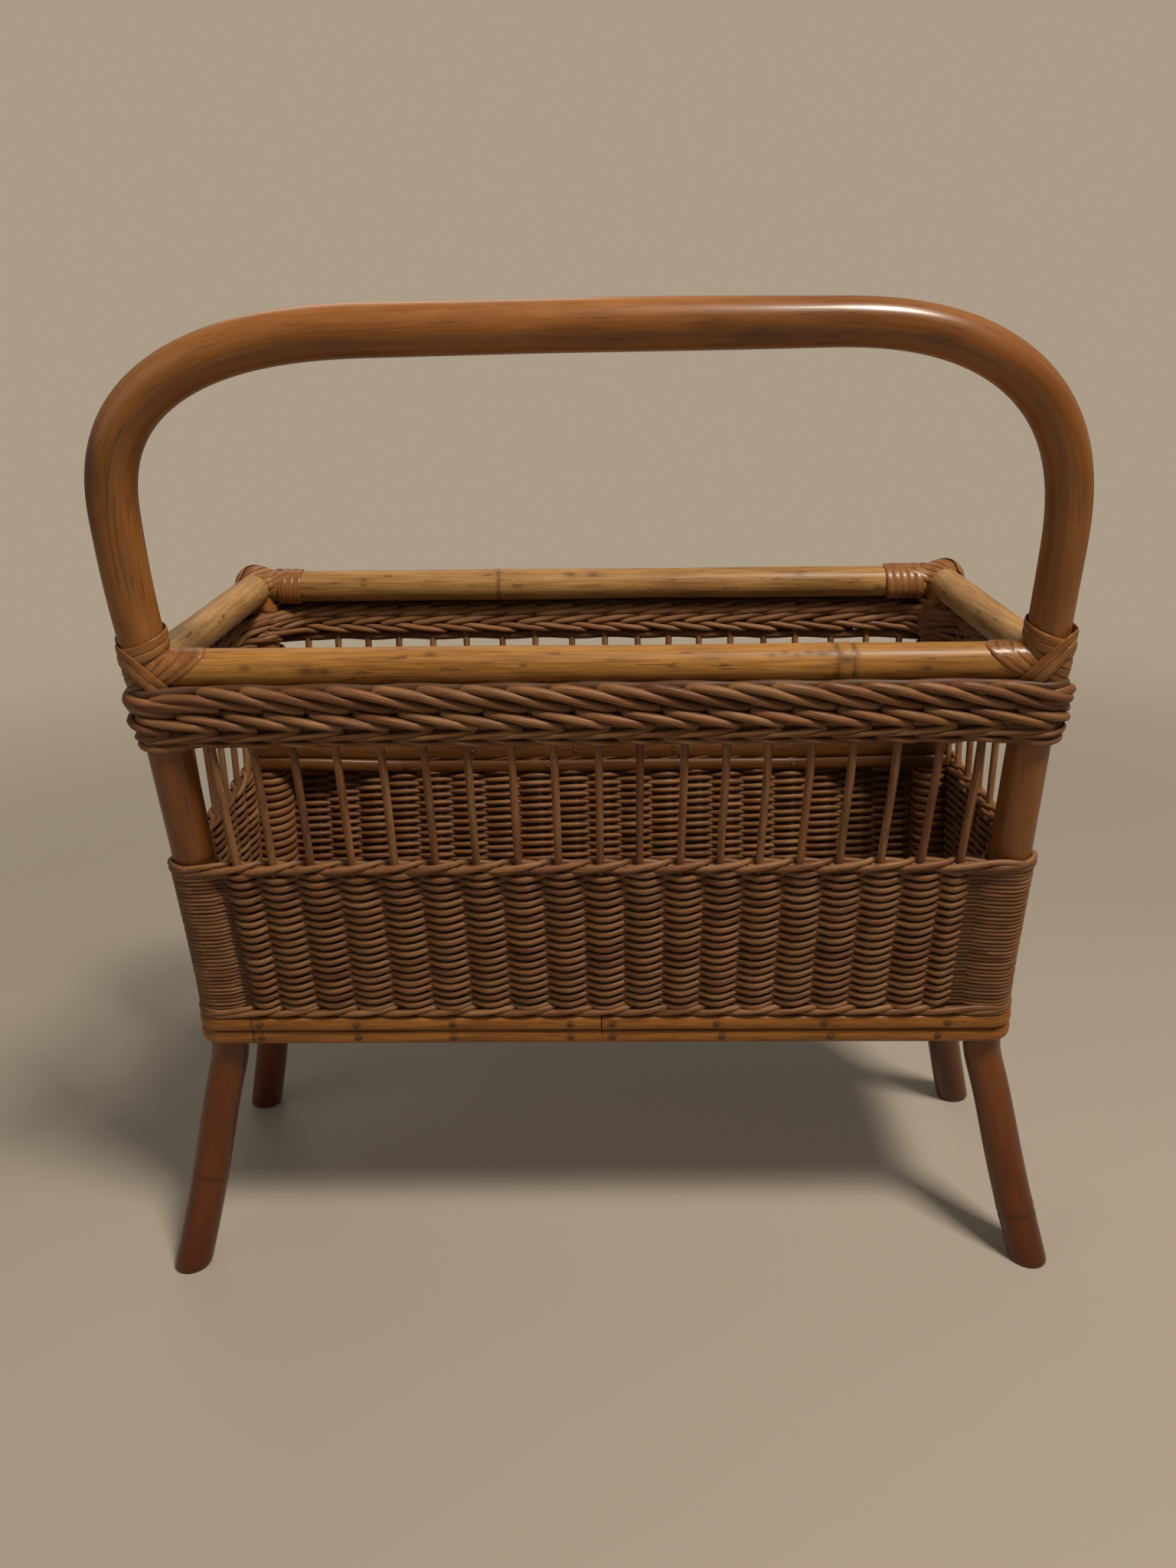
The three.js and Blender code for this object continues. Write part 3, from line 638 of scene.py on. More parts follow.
def near_post(place):
    """One at a post and nothing a space and a half away from it, along the ring of stakes."""
    ends = (WALL_SPACES, WALL_SPACES + 1 + SIDE_SPACES, 2 * WALL_SPACES + 2 + SIDE_SPACES, ROUND - 1)
    posts = np.array(ends) + CORNER_SPACES / 2
    away = np.abs(np.mod(place[..., None] - posts + ROUND / 2, ROUND) - ROUND / 2).min(-1)
    return smooth_step(AT_POST_REACH - away, 0, 1)


def pressed(height, place):
    """The plait's heights after it was beaten down: even up to its foot, then closer together.
    The back wall's plait is narrower: its foot stands higher, and the rows close up to the top."""
    height = np.interp(height, PRESSED_FROM, PRESSED_TO)
    lift = np.interp(np.mod(place, ROUND), BACK_PLACES, BACK_LIFTS)
    return height + lift * np.interp(height, LIFT_HEIGHTS, (0, 1, 0))


def border_rods(starts, keys, radius, count, corner_drop=1.5, corner_in=0.0):
    """One rod of a border row from each start. The keys give its places past the start, its
    offsets and its heights. Near a post it dips to pass under the bindings, and an inner row
    moves in to pass the post on its inner side."""
    run = through(keys, count)
    shake = random.uniform(-1, 1, (3, len(starts), 1)) * ROD_SHAKES
    place = starts[:, None] + run[None, :, 0] + shake[0]
    offset = run[None, :, 1] + shake[1] - corner_in * near_post(place)
    height = pressed(run[None, :, 2] + shake[2] - corner_drop * near_post(place), place)
    line, out = ring(place, offset, height)
    size = round_ends(line, radius * random.uniform(*ROD_SPREAD))
    return sweep(line, out, size, size, WEAVER_SIDES, tone=random.uniform(0, 1, len(starts)))


def all_round(rods, per_space):
    """Places all round the ring of stakes, so many to a space, for each of several rods."""
    place = np.arange(ROUND * per_space) / per_space
    return np.broadcast_to(place, (rods, len(place)))


def round_post(side_x, side_y, angle, height, reach):
    """Points about a post at a distance from its centre line, and the ways out to them."""
    out = np.stack([np.cos(angle), np.sin(angle), 0 * angle], 1)
    x = side_x * POST_HALF + 0 * height
    middle = np.stack([x, MIDDLE_Y + side_y * wall_half(height), height], 1)
    return middle + reach * out, out


# Peeled willow, smoked and varnished thinly: a dull brown that goes from olive to purple from
# rod to rod, fine lengthwise lines and a soft sheen.
wicker_material = fibre_material(
    "smoked_willow",
    [(0.3, "#4b2f1a"), (0.42, "#69482d"), (0.52, "#826143"), (0.62, "#967553"), (0.74, "#ad8b67")],
    fibre=0.6, blotch=11, roughness=0.52, coat=0.03, bump=0.06, dark="#2c170b", specks=0.3,
    tints=[(0.0, "#d3b5a8"), (0.25, "#f2dfcd"), (0.5, "#fff4ea"), (0.75, "#e2d1b6"), (1.0, "#ffe4d2")])

wall_spaces = {"front": WALL_SPACES, "right": SIDE_SPACES, "back": WALL_SPACES, "left": SIDE_SPACES}
wall_starts = {"front": 0, "right": WALL_SPACES + 1, "back": WALL_SPACES + SIDE_SPACES + 2,
               "left": 2 * WALL_SPACES + SIDE_SPACES + 3}
stake_names = {
    "front": [f"front_stake_{number:02d}" for number in range(1, WALL_SPACES)],
    "right": [f"right_stake_{number}" for number in range(1, SIDE_SPACES)],
    "back": ["back_stakes"],
    "left": [f"left_stake_{number}" for number in range(1, SIDE_SPACES)]}
stake_keys = [
    (0.0, STAKE_OFFSET, STAKE_FOOT), (0.0, STAKE_OFFSET, 190), (0.0, STAKE_OFFSET, 240),
    (0.0, STAKE_OFFSET, 290), (0.0, STAKE_OFFSET, 320), (0.0, STAKE_OFFSET, 334),
    (0.0, STAKE_OFFSET + 0.6, 344), (0.06, 10.8, 348.6), (0.28, 12.8, 349.6), (0.75, 13.8, 348.0),
    (1.25, 13.8, 345.0), (1.75, 13.0, 341.6), (2.2, 11.8, 338.8), (2.45, 9.6, 337.8)]
for wall, first in wall_starts.items():
    places = first + np.arange(1, wall_spaces[wall])
    run = through(stake_keys, STAKE_POINTS)
    crooked = random.uniform(-STAKE_SHAKE, STAKE_SHAKE, (len(places), 1))
    place = places[:, None] + run[None, :, 0] + crooked * np.sin(np.linspace(0, np.pi, STAKE_POINTS))
    height = run[None, :, 2] - TOP_DIP * near_post(place) * (run[None, :, 2] > TOP_FROM)
    line, out = ring(place, run[None, :, 1], pressed(height, place))
    thick = STAKE_RADIUS + TOP_THICKER * np.interp(run[:, 2], TOP_HEIGHTS, (0, 1)) * (run[:, 0] > BENT_FROM)
    size = round_ends(line, 1.0, start=False) * np.maximum.accumulate(thick)[None]
    shell = sweep(line, out, size, size, STAKE_SIDES, tone=random.uniform(0, 1, len(places)))
    make_piece(f"{wall}_stakes_and_top_row", [shell], wicker_material, "wicker", *stake_names[wall])

# Level rods run inside the plait; they are darkened, most of all under the rail, as painted shade
# seen through its gaps. Under the top row lie a second row of thick rods, a thin row that rises to
# the right and small hooks round the stakes. The inside shows two falling rows and a rising one.
every_stake = []
post_places = []
for wall, first in wall_starts.items():
    every_stake += range(first, first + wall_spaces[wall] + 1)
    post_places += [first, first + wall_spaces[wall]]
every_stake = np.array(every_stake)
post_places = np.array(post_places)
core_place = all_round(CORE_RODS, CORE_POINTS)
core_wave = np.cos(np.pi * core_place + np.arange(CORE_RODS)[:, None] * 2)
core_out, core_up = (wave * core_wave + at_post * near_post(core_place)
                     for wave, at_post in zip(CORE_WAVES, CORE_AT_POST))
core_line, core_out = ring(core_place, STAKE_OFFSET + core_out, pressed(CORE_HEIGHTS + core_up, core_place))
core_tones = random.uniform(0, 0.5, CORE_RODS)
outer_rows = [
    sweep(core_line, core_out, *CORE_HALF, WEAVER_SIDES, True, core_tones, CORE_PAINTED_SHADES),
    border_rods(post_places, [(-0.25, 8.6, 344.5), (0.0, 11.6, 347.0), (0.4, 13.2, 347.4),
                              (1.0, 13.6, 345.4), (1.7, 12.9, 342.2), (2.2, 11.8, 340.0),
                              (2.5, 9.6, 339.0)], 2.3, 40, 2.0),
    border_rods(post_places, [(-0.6, 9.0, 341.0), (-0.2, 12.4, 341.6), (0.4, 13.2, 341.2),
                              (1.0, 12.4, 339.6), (1.4, 10.4, 338.6)], 2.1, 30, 1.2),
    border_rods(every_stake, [(-0.5, 9.2, 335.8), (-0.35, 12.2, 335.9), (0.25, 13.9, 333.4),
                              (0.8, 13.6, 330.4), (1.15, 12.2, 328.6), (1.3, 9.8, 328.0)], 2.3, 26),
    border_rods(every_stake, [(-0.75, 9.2, 321.6), (-0.4, 11.6, 322.0), (0.2, 13.0, 323.2),
                              (0.85, 12.9, 325.0), (1.35, 10.9, 326.4)], 1.7, 28),
    border_rods(every_stake, [(-0.6, 8.2, 321.6), (-0.35, 10.8, 320.0), (0.0, 12.0, 318.9),
                              (0.4, 11.2, 318.3), (0.6, 8.8, 319.2)], 1.6, 20),
]
inner_rows = [
    border_rods(every_stake, [(-0.1, 7.6, 342.6), (0.2, 5.4, 341.8), (0.9, 4.2, 339.6),
                              (1.6, 4.3, 337.6), (2.1, 6.4, 336.6)], 2.3, 30, 0.5, 16.4),
    border_rods(every_stake, [(-0.2, 7.8, 336.6), (0.15, 5.2, 335.6), (0.7, 4.0, 333.2),
                              (1.25, 4.2, 330.8), (1.6, 6.6, 329.6)], 2.1, 26, 0.5, 16.2),
    border_rods(every_stake, [(-0.5, 7.4, 323.4), (-0.25, 5.2, 324.2), (0.3, 4.1, 326.2),
                              (0.9, 4.6, 328.6), (1.25, 7.0, 329.8)], 2.0, 24, 0.5, 16.2),
    border_rods(every_stake, [(-0.4, 8.6, 330.2), (0.0, 9.6, 329.6), (0.6, 9.8, 328.2),
                              (1.2, 8.8, 327.0)], 1.9, 22, 1.0),
    border_rods(every_stake, [(-0.3, 8.8, 339.4), (0.1, 9.4, 338.2), (0.9, 9.6, 336.2),
                              (1.4, 9.0, 335.0)], 1.9, 22, 1.0),
]
# A collar of the same rod goes once round each post under the border.
collar_turn = np.linspace(0, 2 * np.pi, COLLAR_POINTS, endpoint=False)
collars = []
for side_x, side_y in CORNERS:
    height = COLLAR_HEIGHT + COLLAR_TILT * np.sin(collar_turn + side_x)
    collar, collar_out = round_post(side_x, side_y, collar_turn, height, COLLAR_REACH)
    collars.append(collar)
tones = random.uniform(0, 1, len(CORNERS))
outer_rows.append(sweep(np.array(collars), collar_out, *COLLAR_HALF, WEAVER_SIDES, True, tones))
make_piece("plaited_border_rods", outer_rows, wicker_material, "wicker", "plaited_border")
make_piece("inner_border_rods", inner_rows, wicker_material, "wicker", "plaited_border")


# The weave.
# Willow weavers go in and out between the stakes, each row the other way from the one below,
# packed so tight that they are flat where they cross and full where they pass a stake.
WEAVE_BOTTOM = BASE_HEIGHT + 14.5
WEAVE_TOP = 248.4
WEAVE_ROWS = 36
WEAVE_POINTS = 10
WEAVE_REACH = 3.5
NEARER_AT_POST = 0.5
WEAVER_HALF = 1.2
HALF_WHERE_FREE = 0.15
HALF_WHERE_OUT = 0.25
WEAVER_SPREAD = 0.05
SQUEEZED = 1.42
FULL = 1.95
FULL_INSIDE = 1.66
AT_POST = 1.2
DIP_PLACE = 0.45
DIP_REACH = 0.11
DIP_DEPTH = 0.8
DIP_ABOVE = -0.4
WEAVE_SHADE = 0.12
TONE_STEP = 0.37
WEAVER_LENGTH = 260
TWISTED_LENGTH = 310
LAP_TURN = np.pi * 0.51
LAP_REACH = 12.0
RISE = 0.36
SAG = 1.25
PAIRED = 0.3
LAG = 0.12
WRAP_FROM = (0, 18.5, 19.12, 20)
WRAP_TO = (0, 18.5, 19.5, 20)
WANDER_TURNS = (7, 13, 22)
WANDER_STARTS = (0, 6.3)
WANDER_UP = 0.16
WANDER_OUT = 0.12
WANDER_SWELL = 0.06
HEART_POINTS = 3
HEART_HALF = (0.8, 1.3)
# Painted shade: how dark the level rods inside the weave are made.
HEART_PAINTED_SHADE = 0.55
LAP_TILT = 0.5
LAP_HALF = (1.25, 2.1)
LAP_WAVE = np.pi * 0.75
LAP_POINTS = 30
LAP_MARGIN = 2


def evened(values, weights, axis=1):
    """A closed run of values, each replaced by a weighted mean of it and its neighbours."""
    half = len(weights) // 2
    shares = zip(range(-half, half + 1), np.array(weights) / sum(weights))
    return sum(np.roll(values, shift, axis) * share for shift, share in shares)


def in_lengths(shell, length):
    """Changes the tone from one length of rod to the next, where rods follow on each other."""
    number = np.floor(shell["own"][..., 2] / length)
    shell["tone"] = np.mod(shell["tone"] + number * TONE_STEP, 1)


def weave_wave(place, row):
    """How far out a weaver lies, from 1 outside to -1 inside, and how free it is to swell. It is
    a cosine that turns over at each stake, and it stays out round every post. A little lag
    carries each outer stretch over the start of the next one. At the front right post the wrap
    starts early, and the last stretch before it is short."""
    wave = np.ones(place.shape)
    free = np.zeros(place.shape)
    rise = np.zeros(place.shape)
    pair = np.zeros(place.shape)
    for wall, first in wall_starts.items():
        spaces = wall_spaces[wall]
        local = np.mod(place - LAG, ROUND) - first
        if wall == "front":
            local = np.where(local < spaces, np.interp(local, WRAP_FROM, WRAP_TO), local)
        here = (local > 0) & (local < spaces)
        to_post = np.minimum(local, spaces - local)
        inner = here & (to_post >= 0.5)
        wave = np.where(inner, np.cos(np.pi * (local + row)), wave)
        wave = np.where(here & ~inner, np.cos(np.pi * to_post), wave)
        dip = here * bell(to_post - DIP_PLACE, DIP_REACH)
        wave = wave - DIP_DEPTH * dip * (wave > DIP_ABOVE)
        pair = pair + dip * (1 - 2 * (row % 2))
        free = np.where(inner, 1.0, free)
        rise = np.where(inner, np.sin(np.pi * (local + row)), rise)
    return [evened(values, (1, 2, 3, 2, 1)) for values in (wave, free, rise, pair)]


weave_heights = np.linspace(WEAVE_BOTTOM + SQUEEZED, WEAVE_TOP - SQUEEZED, WEAVE_ROWS)
# Near the posts the points stand twice as close.
place = all_round(1, WEAVE_POINTS)[0]
place = np.sort(np.concatenate([place, place[near_post(place) > 0.1] + 0.5 / WEAVE_POINTS]))
place = np.broadcast_to(place, (WEAVE_ROWS, len(place)))
wave, free, rise, pair = weave_wave(place, np.arange(WEAVE_ROWS)[:, None])
wander = sum(np.sin(place * 2 * np.pi * turns / ROUND + random.uniform(*WANDER_STARTS, (WEAVE_ROWS, 1)))
             for turns in WANDER_TURNS) / len(WANDER_TURNS)
height = weave_heights[:, None] + RISE * rise * free - SAG * wave * free
height = height + PAIRED * pair + WANDER_UP * wander
reach = WEAVE_REACH - NEARER_AT_POST * (1 - free)
line, out = ring(place, STAKE_OFFSET + reach * wave + WANDER_OUT * wander[::-1], height)
swell = 1 + WANDER_SWELL * wander + random.uniform(-WEAVER_SPREAD, WEAVER_SPREAD, (WEAVE_ROWS, 1))
full = np.where(wave > 0, FULL, FULL_INSIDE)
tall = (AT_POST + (SQUEEZED - AT_POST) * free + (full - SQUEEZED) * free * np.abs(wave)) * swell
wide = WEAVER_HALF + HALF_WHERE_FREE * free + HALF_WHERE_OUT * free * wave ** 2
tones = random.uniform(0, 1, WEAVE_ROWS)
halves = []
for part in (slice(0, WEAVE_ROWS // 2), slice(WEAVE_ROWS // 2, WEAVE_ROWS)):
    shell = sweep(line[part], out[part], wide[part], tall[part], WEAVER_SIDES, True, tones[part], WEAVE_SHADE)
    in_lengths(shell, WEAVER_LENGTH)
    halves.append(shell)

# A thinner level rod runs at each row in the plane of the stakes and closes the wall to light.
# It is darkened, with a low tone, as painted shade in the gaps.
line, out = ring(all_round(WEAVE_ROWS, HEART_POINTS), STAKE_OFFSET, weave_heights[:, None])
tones = random.uniform(0, 0.4, WEAVE_ROWS)
heart_shell = sweep(line, out, *HEART_HALF, 6, True, tones, HEART_PAINTED_SHADE)

# Inside the basket, shorter lengths of weaver lap each post between the same two walls.
lap_heights = np.linspace(WEAVE_BOTTOM + LAP_MARGIN, WEAVE_TOP - LAP_MARGIN, WEAVE_ROWS // 2)
lap_turn = np.linspace(-LAP_TURN, LAP_TURN, LAP_POINTS)
laps = []
for side_x, side_y in CORNERS:
    inwards = np.arctan2(-side_y, -side_x)
    for lap_height in lap_heights:
        level = lap_height + LAP_TILT * np.sin(lap_turn / LAP_TURN * LAP_WAVE)
        laps.append(round_post(side_x, side_y, inwards + lap_turn, level, LAP_REACH))
laps, lap_outs = (np.array(parts) for parts in zip(*laps))
lap_shell = sweep(laps, lap_outs, *LAP_HALF, WEAVER_SIDES, tone=random.uniform(0, 1, len(laps)))
make_piece("lower_weave", [halves[0]], wicker_material, "wicker", "woven_wall")
make_piece("upper_weave", [halves[1]], wicker_material, "wicker", "woven_wall")
make_piece("weave_hearts_and_laps", [lap_shell, heart_shell], wicker_material, "wicker", "woven_wall")


# The twists.
# Three thicker rods are turned round each other above the weave and below it. Each passes two
# stakes on the outside and one inside, and climbs as it goes, so the edge looks like a rope.
TWIST_RODS = 3
TWIST_POINTS = 14
TWIST_REACH = 3.7
TWIST_ROUND = 0.6
TWIST_AT_POST = 11.8
TWIST_RADIUS = 1.45
TWIST_FULLER = 0.3
TWIST_TALLER = 1.08
TWIST_CLIMB = 2.3
TWIST_CORE = (1.7, 3.3)
TWIST_CORE_DROP = 2.2
TWIST_CORE_OUT = 2.2


def twist(name, node, lift, out_share):
    """A rope of three rods round the walls, with a level one at its heart. Each is outside for a
    share of three spaces, where it climbs steadily to the right, and falls back while inside."""
    middle = middle_of(node)[2] + lift
    place = all_round(TWIST_RODS, TWIST_POINTS)
    turns = round(ROUND / TWIST_RODS)
    phase = np.mod(place * turns / ROUND + np.arange(TWIST_RODS)[:, None] / TWIST_RODS, 1)
    climbing = phase < out_share
    inside = (phase - out_share) / (1 - out_share)
    rise = np.where(climbing, -1 + 2 * phase / out_share, 1 - 2 * inside)
    away = np.where(climbing, np.sin(np.pi * phase / out_share), -np.sin(np.pi * inside))
    rise, away = (evened(values, (1, 2, 3, 4, 3, 2, 1)) for values in (rise, away))
    corner = near_post(place)
    offset = STAKE_OFFSET + np.sign(away) * np.abs(away) ** TWIST_ROUND * TWIST_REACH
    offset = offset * (1 - corner) + TWIST_AT_POST * corner
    line, out = ring(place, offset, middle + TWIST_CLIMB * rise)
    wide = TWIST_RADIUS + TWIST_FULLER * np.clip(away, 0, 1)
    tones = random.uniform(0, 1, TWIST_RODS)
    shell = sweep(line, out, wide, wide * TWIST_TALLER, WEAVER_SIDES, True, tones)
    in_lengths(shell, TWISTED_LENGTH)
    core_offset = STAKE_OFFSET + TWIST_CORE_OUT * corner[:1, ::2]
    line, out = ring(place[:1, ::2], core_offset, middle - TWIST_CORE_DROP)
    # The heart rod takes a low, darker tone as painted shade.
    core = sweep(line, out, *TWIST_CORE, WEAVER_SIDES, closed=True, tone=0.1)
    make_piece(name, [shell, core], wicker_material, "wicker", node)


twist("lower_rope", "lower_weave_twist", 0.4, 0.54)
twist("upper_rope", "upper_weave_twist", 0.5, 0.48)


# The strips.
# Split rattan, flat inside and round outside, is nailed in two courses round the base and in
# two more on the inner face of the back wall.
STRIP_INNER = POLE_RADIUS + 0.3
STRIP_THICK = 3.0
STRIP_HEIGHT = 8.6
STRIP_SIDES = 16
BULGE_POWER = 0.8
LIFT_POWER = 0.7
NAIL_RADIUS = 1.55
NAIL_RISE = np.array([-0.6, 0.1, 0.35, 0.5])[:, None]
NAIL_SHRINK = np.array([1.0, 1.0, 0.75, 0.25])
NAIL_SPREAD = (0.8, 1.15)
NAIL_TILT = 0.6
NAIL_FLAT = 0.85
NAIL_SIDES = 5
NAIL_DARK = 0.85

# Split rattan with its skin outside, varnished: orange brown, close straight fibres. The inner
# strips take the tint's greyer, darker end as painted shade from the border above them.
strip_material = fibre_material(
    "split_rattan_strip",
    [(0.3, "#56320c"), (0.42, "#724519"), (0.52, "#895622"), (0.62, "#9b682f"), (0.74, "#ae7c42")],
    fibre=0.9, blotch=18, roughness=0.46, coat=0.08, bump=0.07, dark="#24130a", specks=0.4,
    tints=[(0.0, "#a39c92"), (1.0, "#ffffff")])


def half_round(line, out, up, thick, tall, tone):
    """A half-round section along a line: the outward way is the rounded one, the root of one
    less a square, and the back lies flat."""
    turn = np.arange(STRIP_SIDES) / STRIP_SIDES * 2 * np.pi
    bulge = thick * np.maximum(np.cos(turn), 0) ** BULGE_POWER
    lift = tall * np.sign(np.sin(turn)) * np.abs(np.sin(turn)) ** LIFT_POWER
    out, up = (np.broadcast_to(way, line.shape)[None, :, None] for way in (out, up))
    skin = line[None, :, None] + bulge[:, None] * out + lift[:, None] * up
    own = np.stack(np.broadcast_arrays(bulge, lift, running_length(line)[None, :, None]), -1)
    return {"skin": skin, "own": own, "tone": np.full(own.shape[:3], tone),
            "joint": np.zeros(own.shape[:3]), "closed": False}


def mark_nails(shell, nails, reach):
    """Darkens a strip round its nails, out to the reach."""
    for nail in nails:
        away = np.linalg.norm(shell["skin"] - np.array(nail), axis=-1)
        mark = NAIL_DARK * np.exp(-(away / reach) ** 4)
        shell["joint"] = np.maximum(shell["joint"], mark)


def nail_heads(places, outs):
    """Low domed nail heads: rings that shrink as a quarter circle while they rise."""
    outs = unit(np.array(outs, float))
    line = np.array(places)[:, None] + outs[:, None] * NAIL_RISE
    size = NAIL_SHRINK * NAIL_RADIUS * random.uniform(*NAIL_SPREAD, (len(places), 1))
    tilt = random.uniform(-NAIL_TILT, NAIL_TILT, (len(places), 1))
    up = np.stack([tilt, 0 * tilt, 0 * tilt + 1], -1)
    return sweep(line, up, size, size * NAIL_FLAT, NAIL_SIDES)


BASE_NAIL_X = {"upper": (-185.7, -132.9, -81.0, -17.6, 5.1, 61.0, 118.4, 184.0),
               "lower": (-185.7, -132.9, -81.0, -17.6, 5.1, 64.0, 122.5, 180.0)}
SIDE_NAILS = (-0.72, -0.1, 0.55)
BASE_FOOT = BASE_HEIGHT - 8.7
SEAM_X = -0.7
SEAM_GAP = 0.012
LAP_X = -189.9
LAP_MARK_HALF = 0.8
LAP_MARK_DARK = 0.75
BASE_POINTS = 1100
WOBBLE = 0.15
nail_places = []
nail_outs = []
for course, bottom in (("lower", BASE_FOOT), ("upper", BASE_FOOT + STRIP_HEIGHT + 0.3)):
    seam = (SEAM_X + POST_HALF) / SPACE
    place = np.linspace(seam + SEAM_GAP, seam + ROUND - SEAM_GAP, BASE_POINTS)
    middle = bottom + STRIP_HEIGHT / 2
    wobble = WOBBLE * np.sin(place * 0.9 + bottom)
    line, out = ring(place, STRIP_INNER + wobble * 0.5, middle + wobble)
    shell = half_round(line, out, (0, 0, 1), STRIP_THICK, STRIP_HEIGHT / 2, 1.0)
    nails = []
    for side_y in (-1, 1):
        face = MIDDLE_Y + side_y * (wall_half(middle) + STRIP_INNER + STRIP_THICK)
        nails += [(x * -side_y, face, middle) for x in BASE_NAIL_X[course]]
        nail_outs += [(0, side_y, 0)] * len(BASE_NAIL_X[course])
    for side_x in (-1, 1):
        face = side_x * (POST_HALF + STRIP_INNER + STRIP_THICK)
        nails += [(face, MIDDLE_Y + share * wall_half(middle), middle) for share in SIDE_NAILS]
        nail_outs += [(side_x, 0, 0)] * len(SIDE_NAILS)
    mark_nails(shell, nails, 2.3)
    lap_mark = bell(shell["skin"][..., 0] - LAP_X, LAP_MARK_HALF) * (shell["skin"][..., 1] < MIDDLE_Y)
    shell["joint"] = np.maximum(shell["joint"], LAP_MARK_DARK * lap_mark)
    nail_places += nails
    make_piece(f"{course}_base_band", [shell], strip_material, "strip", f"{course}_base_strip")

# The inner strips lie on the stakes, and their outer ends bend in over the posts. Their darker
# tone is painted shade cast by the border above.
END_PAST_POST = 4.0
END_BEND = (POST_HALF - 90.0, POST_HALF - 8.0)
END_RISE = 8.0
INNER_THICK = 3.2
INNER_POINTS = 160
INNER_GAP = 0.3
INNER_BOW = 0.25
INNER_BOW_LENGTH = 37
INNER_DROP = {"lower": 5.0, "upper": 2.9}
INNER_HALF = {"lower": 4.0, "upper": 6.1}
INNER_NAIL_X = {"lower": (-190.1, -122.3, -33.4, 47.8, 120.0, 180.0),
                "upper": (-160.0, -80.0, -16.0, 45.5, 103.9, 170.0)}
for course in ("lower", "upper"):
    for side in ("left", "right"):
        node = f"{course}_back_strip_{side}"
        low, high = (np.array(corner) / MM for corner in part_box(node))
        middle = (low[2] + high[2]) / 2 - INNER_DROP[course]
        start, end = low[0], high[0]
        if side == "left":
            start = -POST_HALF - END_PAST_POST
        else:
            end = POST_HALF + END_PAST_POST
        x = np.linspace(start, end, INNER_POINTS)
        bow = INNER_BOW * np.sin(x / INNER_BOW_LENGTH + (course == "upper"))
        face = MIDDLE_Y + wall_half(middle) + STAKE_OFFSET - STAKE_RADIUS - INNER_GAP
        share = smooth_step(np.abs(x), *END_BEND)
        inwards = (STAKE_OFFSET - STAKE_RADIUS + POLE_RADIUS) * share
        line = np.stack([x, face - inwards, middle + bow + END_RISE * share], 1)
        # A tone of nothing darkens the strip as painted shade.
        shell = half_round(line, (0, -1, LEAN), (0, LEAN, 1), INNER_THICK, INNER_HALF[course], 0.0)
        nail_x = [x for x in INNER_NAIL_X[course] if low[0] < x < high[0]]
        nails = [(x, face - INNER_THICK, middle) for x in nail_x]
        mark_nails(shell, nails, 2.2)
        nail_places += nails
        nail_outs += [(0, -1, 0)] * len(nails)
        for key in ("skin", "own", "joint"):
            shell[key] = shell[key][:, ::-1]
        make_piece(f"{course}_{side}_inner_band", [shell], strip_material, "strip", node)

# Small cut nails, gone dark with rust and varnish.
RUST_GRAIN = 0.8
nail_material, nail_shader = new_material("rusted_nail")
nail_place = add_node(nail_material, "TexCoord").outputs["Object"]
nail_rust = add_node(nail_material, "TexNoise", {
    "Vector": nail_place, "Scale": 1 / (RUST_GRAIN * MM), "Detail": 3.0}).outputs["Fac"]
nail_colours = add_node(nail_material, "ValToRGB", {"Fac": nail_rust}, stops=[
    (0.35, "#35210f"), (0.55, "#573a20"), (0.7, "#7d5a35")])
fill_node(nail_material, nail_shader, {
    "Base Color": nail_colours.outputs["Color"], "Metallic": 0.3, "Roughness": 0.55})
make_piece("strip_nails", [nail_heads(nail_places, nail_outs)], nail_material, "strip")


# The bindings.
# Each corner of the rim is bound with split cane. A close under-layer covers the joint, straps
# cross over it, and the cane finishes in turns round the post above a front corner or round the
# rail beside a back corner.
STRAP_WIDTH = 4.6
STRAP_THICK = 1.0
STRAP_POINTS = 96
STRAP_REACH = 21.0
STRAP_LIFT = 0.9
STRAP_SIDES = 12
SLOPE_STEP = 0.4
SLEEVE_LIFT = 0.7
SLEEVE_REACH = 15.6
SLEEVE_LONG = 36.0
SLEEVE_EDGE = 9.5
SLEEVE_PITCH = 3.8
SLEEVE_OPENS = (0.55, 0.8)
SLEEVE_POLE = 0.03
GAP_HALF = 0.4
GAP_DEPTH = 0.5
GAP_DARK = 0.7
SLEEVE_RINGS = 110
SLEEVE_SIDES = 140
TURN_PITCH = 4.3
TURN_LIFT = 0.45
TURN_POINTS = 72
BLEND_POWER = 12
LEFT_BINDING_OUT = 1.5

# Split cane skin under varnish: red brown, smooth, with a close sheen and faint lines.
binding_material = fibre_material(
    "split_cane_binding",
    [(0.3, "#5a381b"), (0.43, "#764d27"), (0.53, "#8c5f33"), (0.63, "#9e7040"), (0.74, "#b28756")],
    fibre=0.7, blotch=12, roughness=0.42, coat=0.22, bump=0.05, dark="#26140b", specks=0.25,
    tints=[(0.0, "#efdcc4"), (1.0, "#ffffff")])


def stand_off(direction, arms, core, lift):
    """How far a strap stands from a joint's centre in a direction: each arm is a cylinder whose
    surface lies at its radius over the sine, and a high power mean takes the outermost."""
    total = (core + lift) ** BLEND_POWER
    for axis, radius in arms:
        along = direction @ axis
        across = np.maximum(np.sqrt(np.maximum(1 - along ** 2, 0)), 0.001)
        total = total + np.where(along > 0, (radius + lift) / across, 0) ** BLEND_POWER
    return total ** (1 / BLEND_POWER)


def held_in(reach, distance):
    """A distance held below a reach: a high power mean of the two that takes the smaller."""
    return (reach ** -BLEND_POWER + distance ** -BLEND_POWER) ** (-1 / BLEND_POWER)


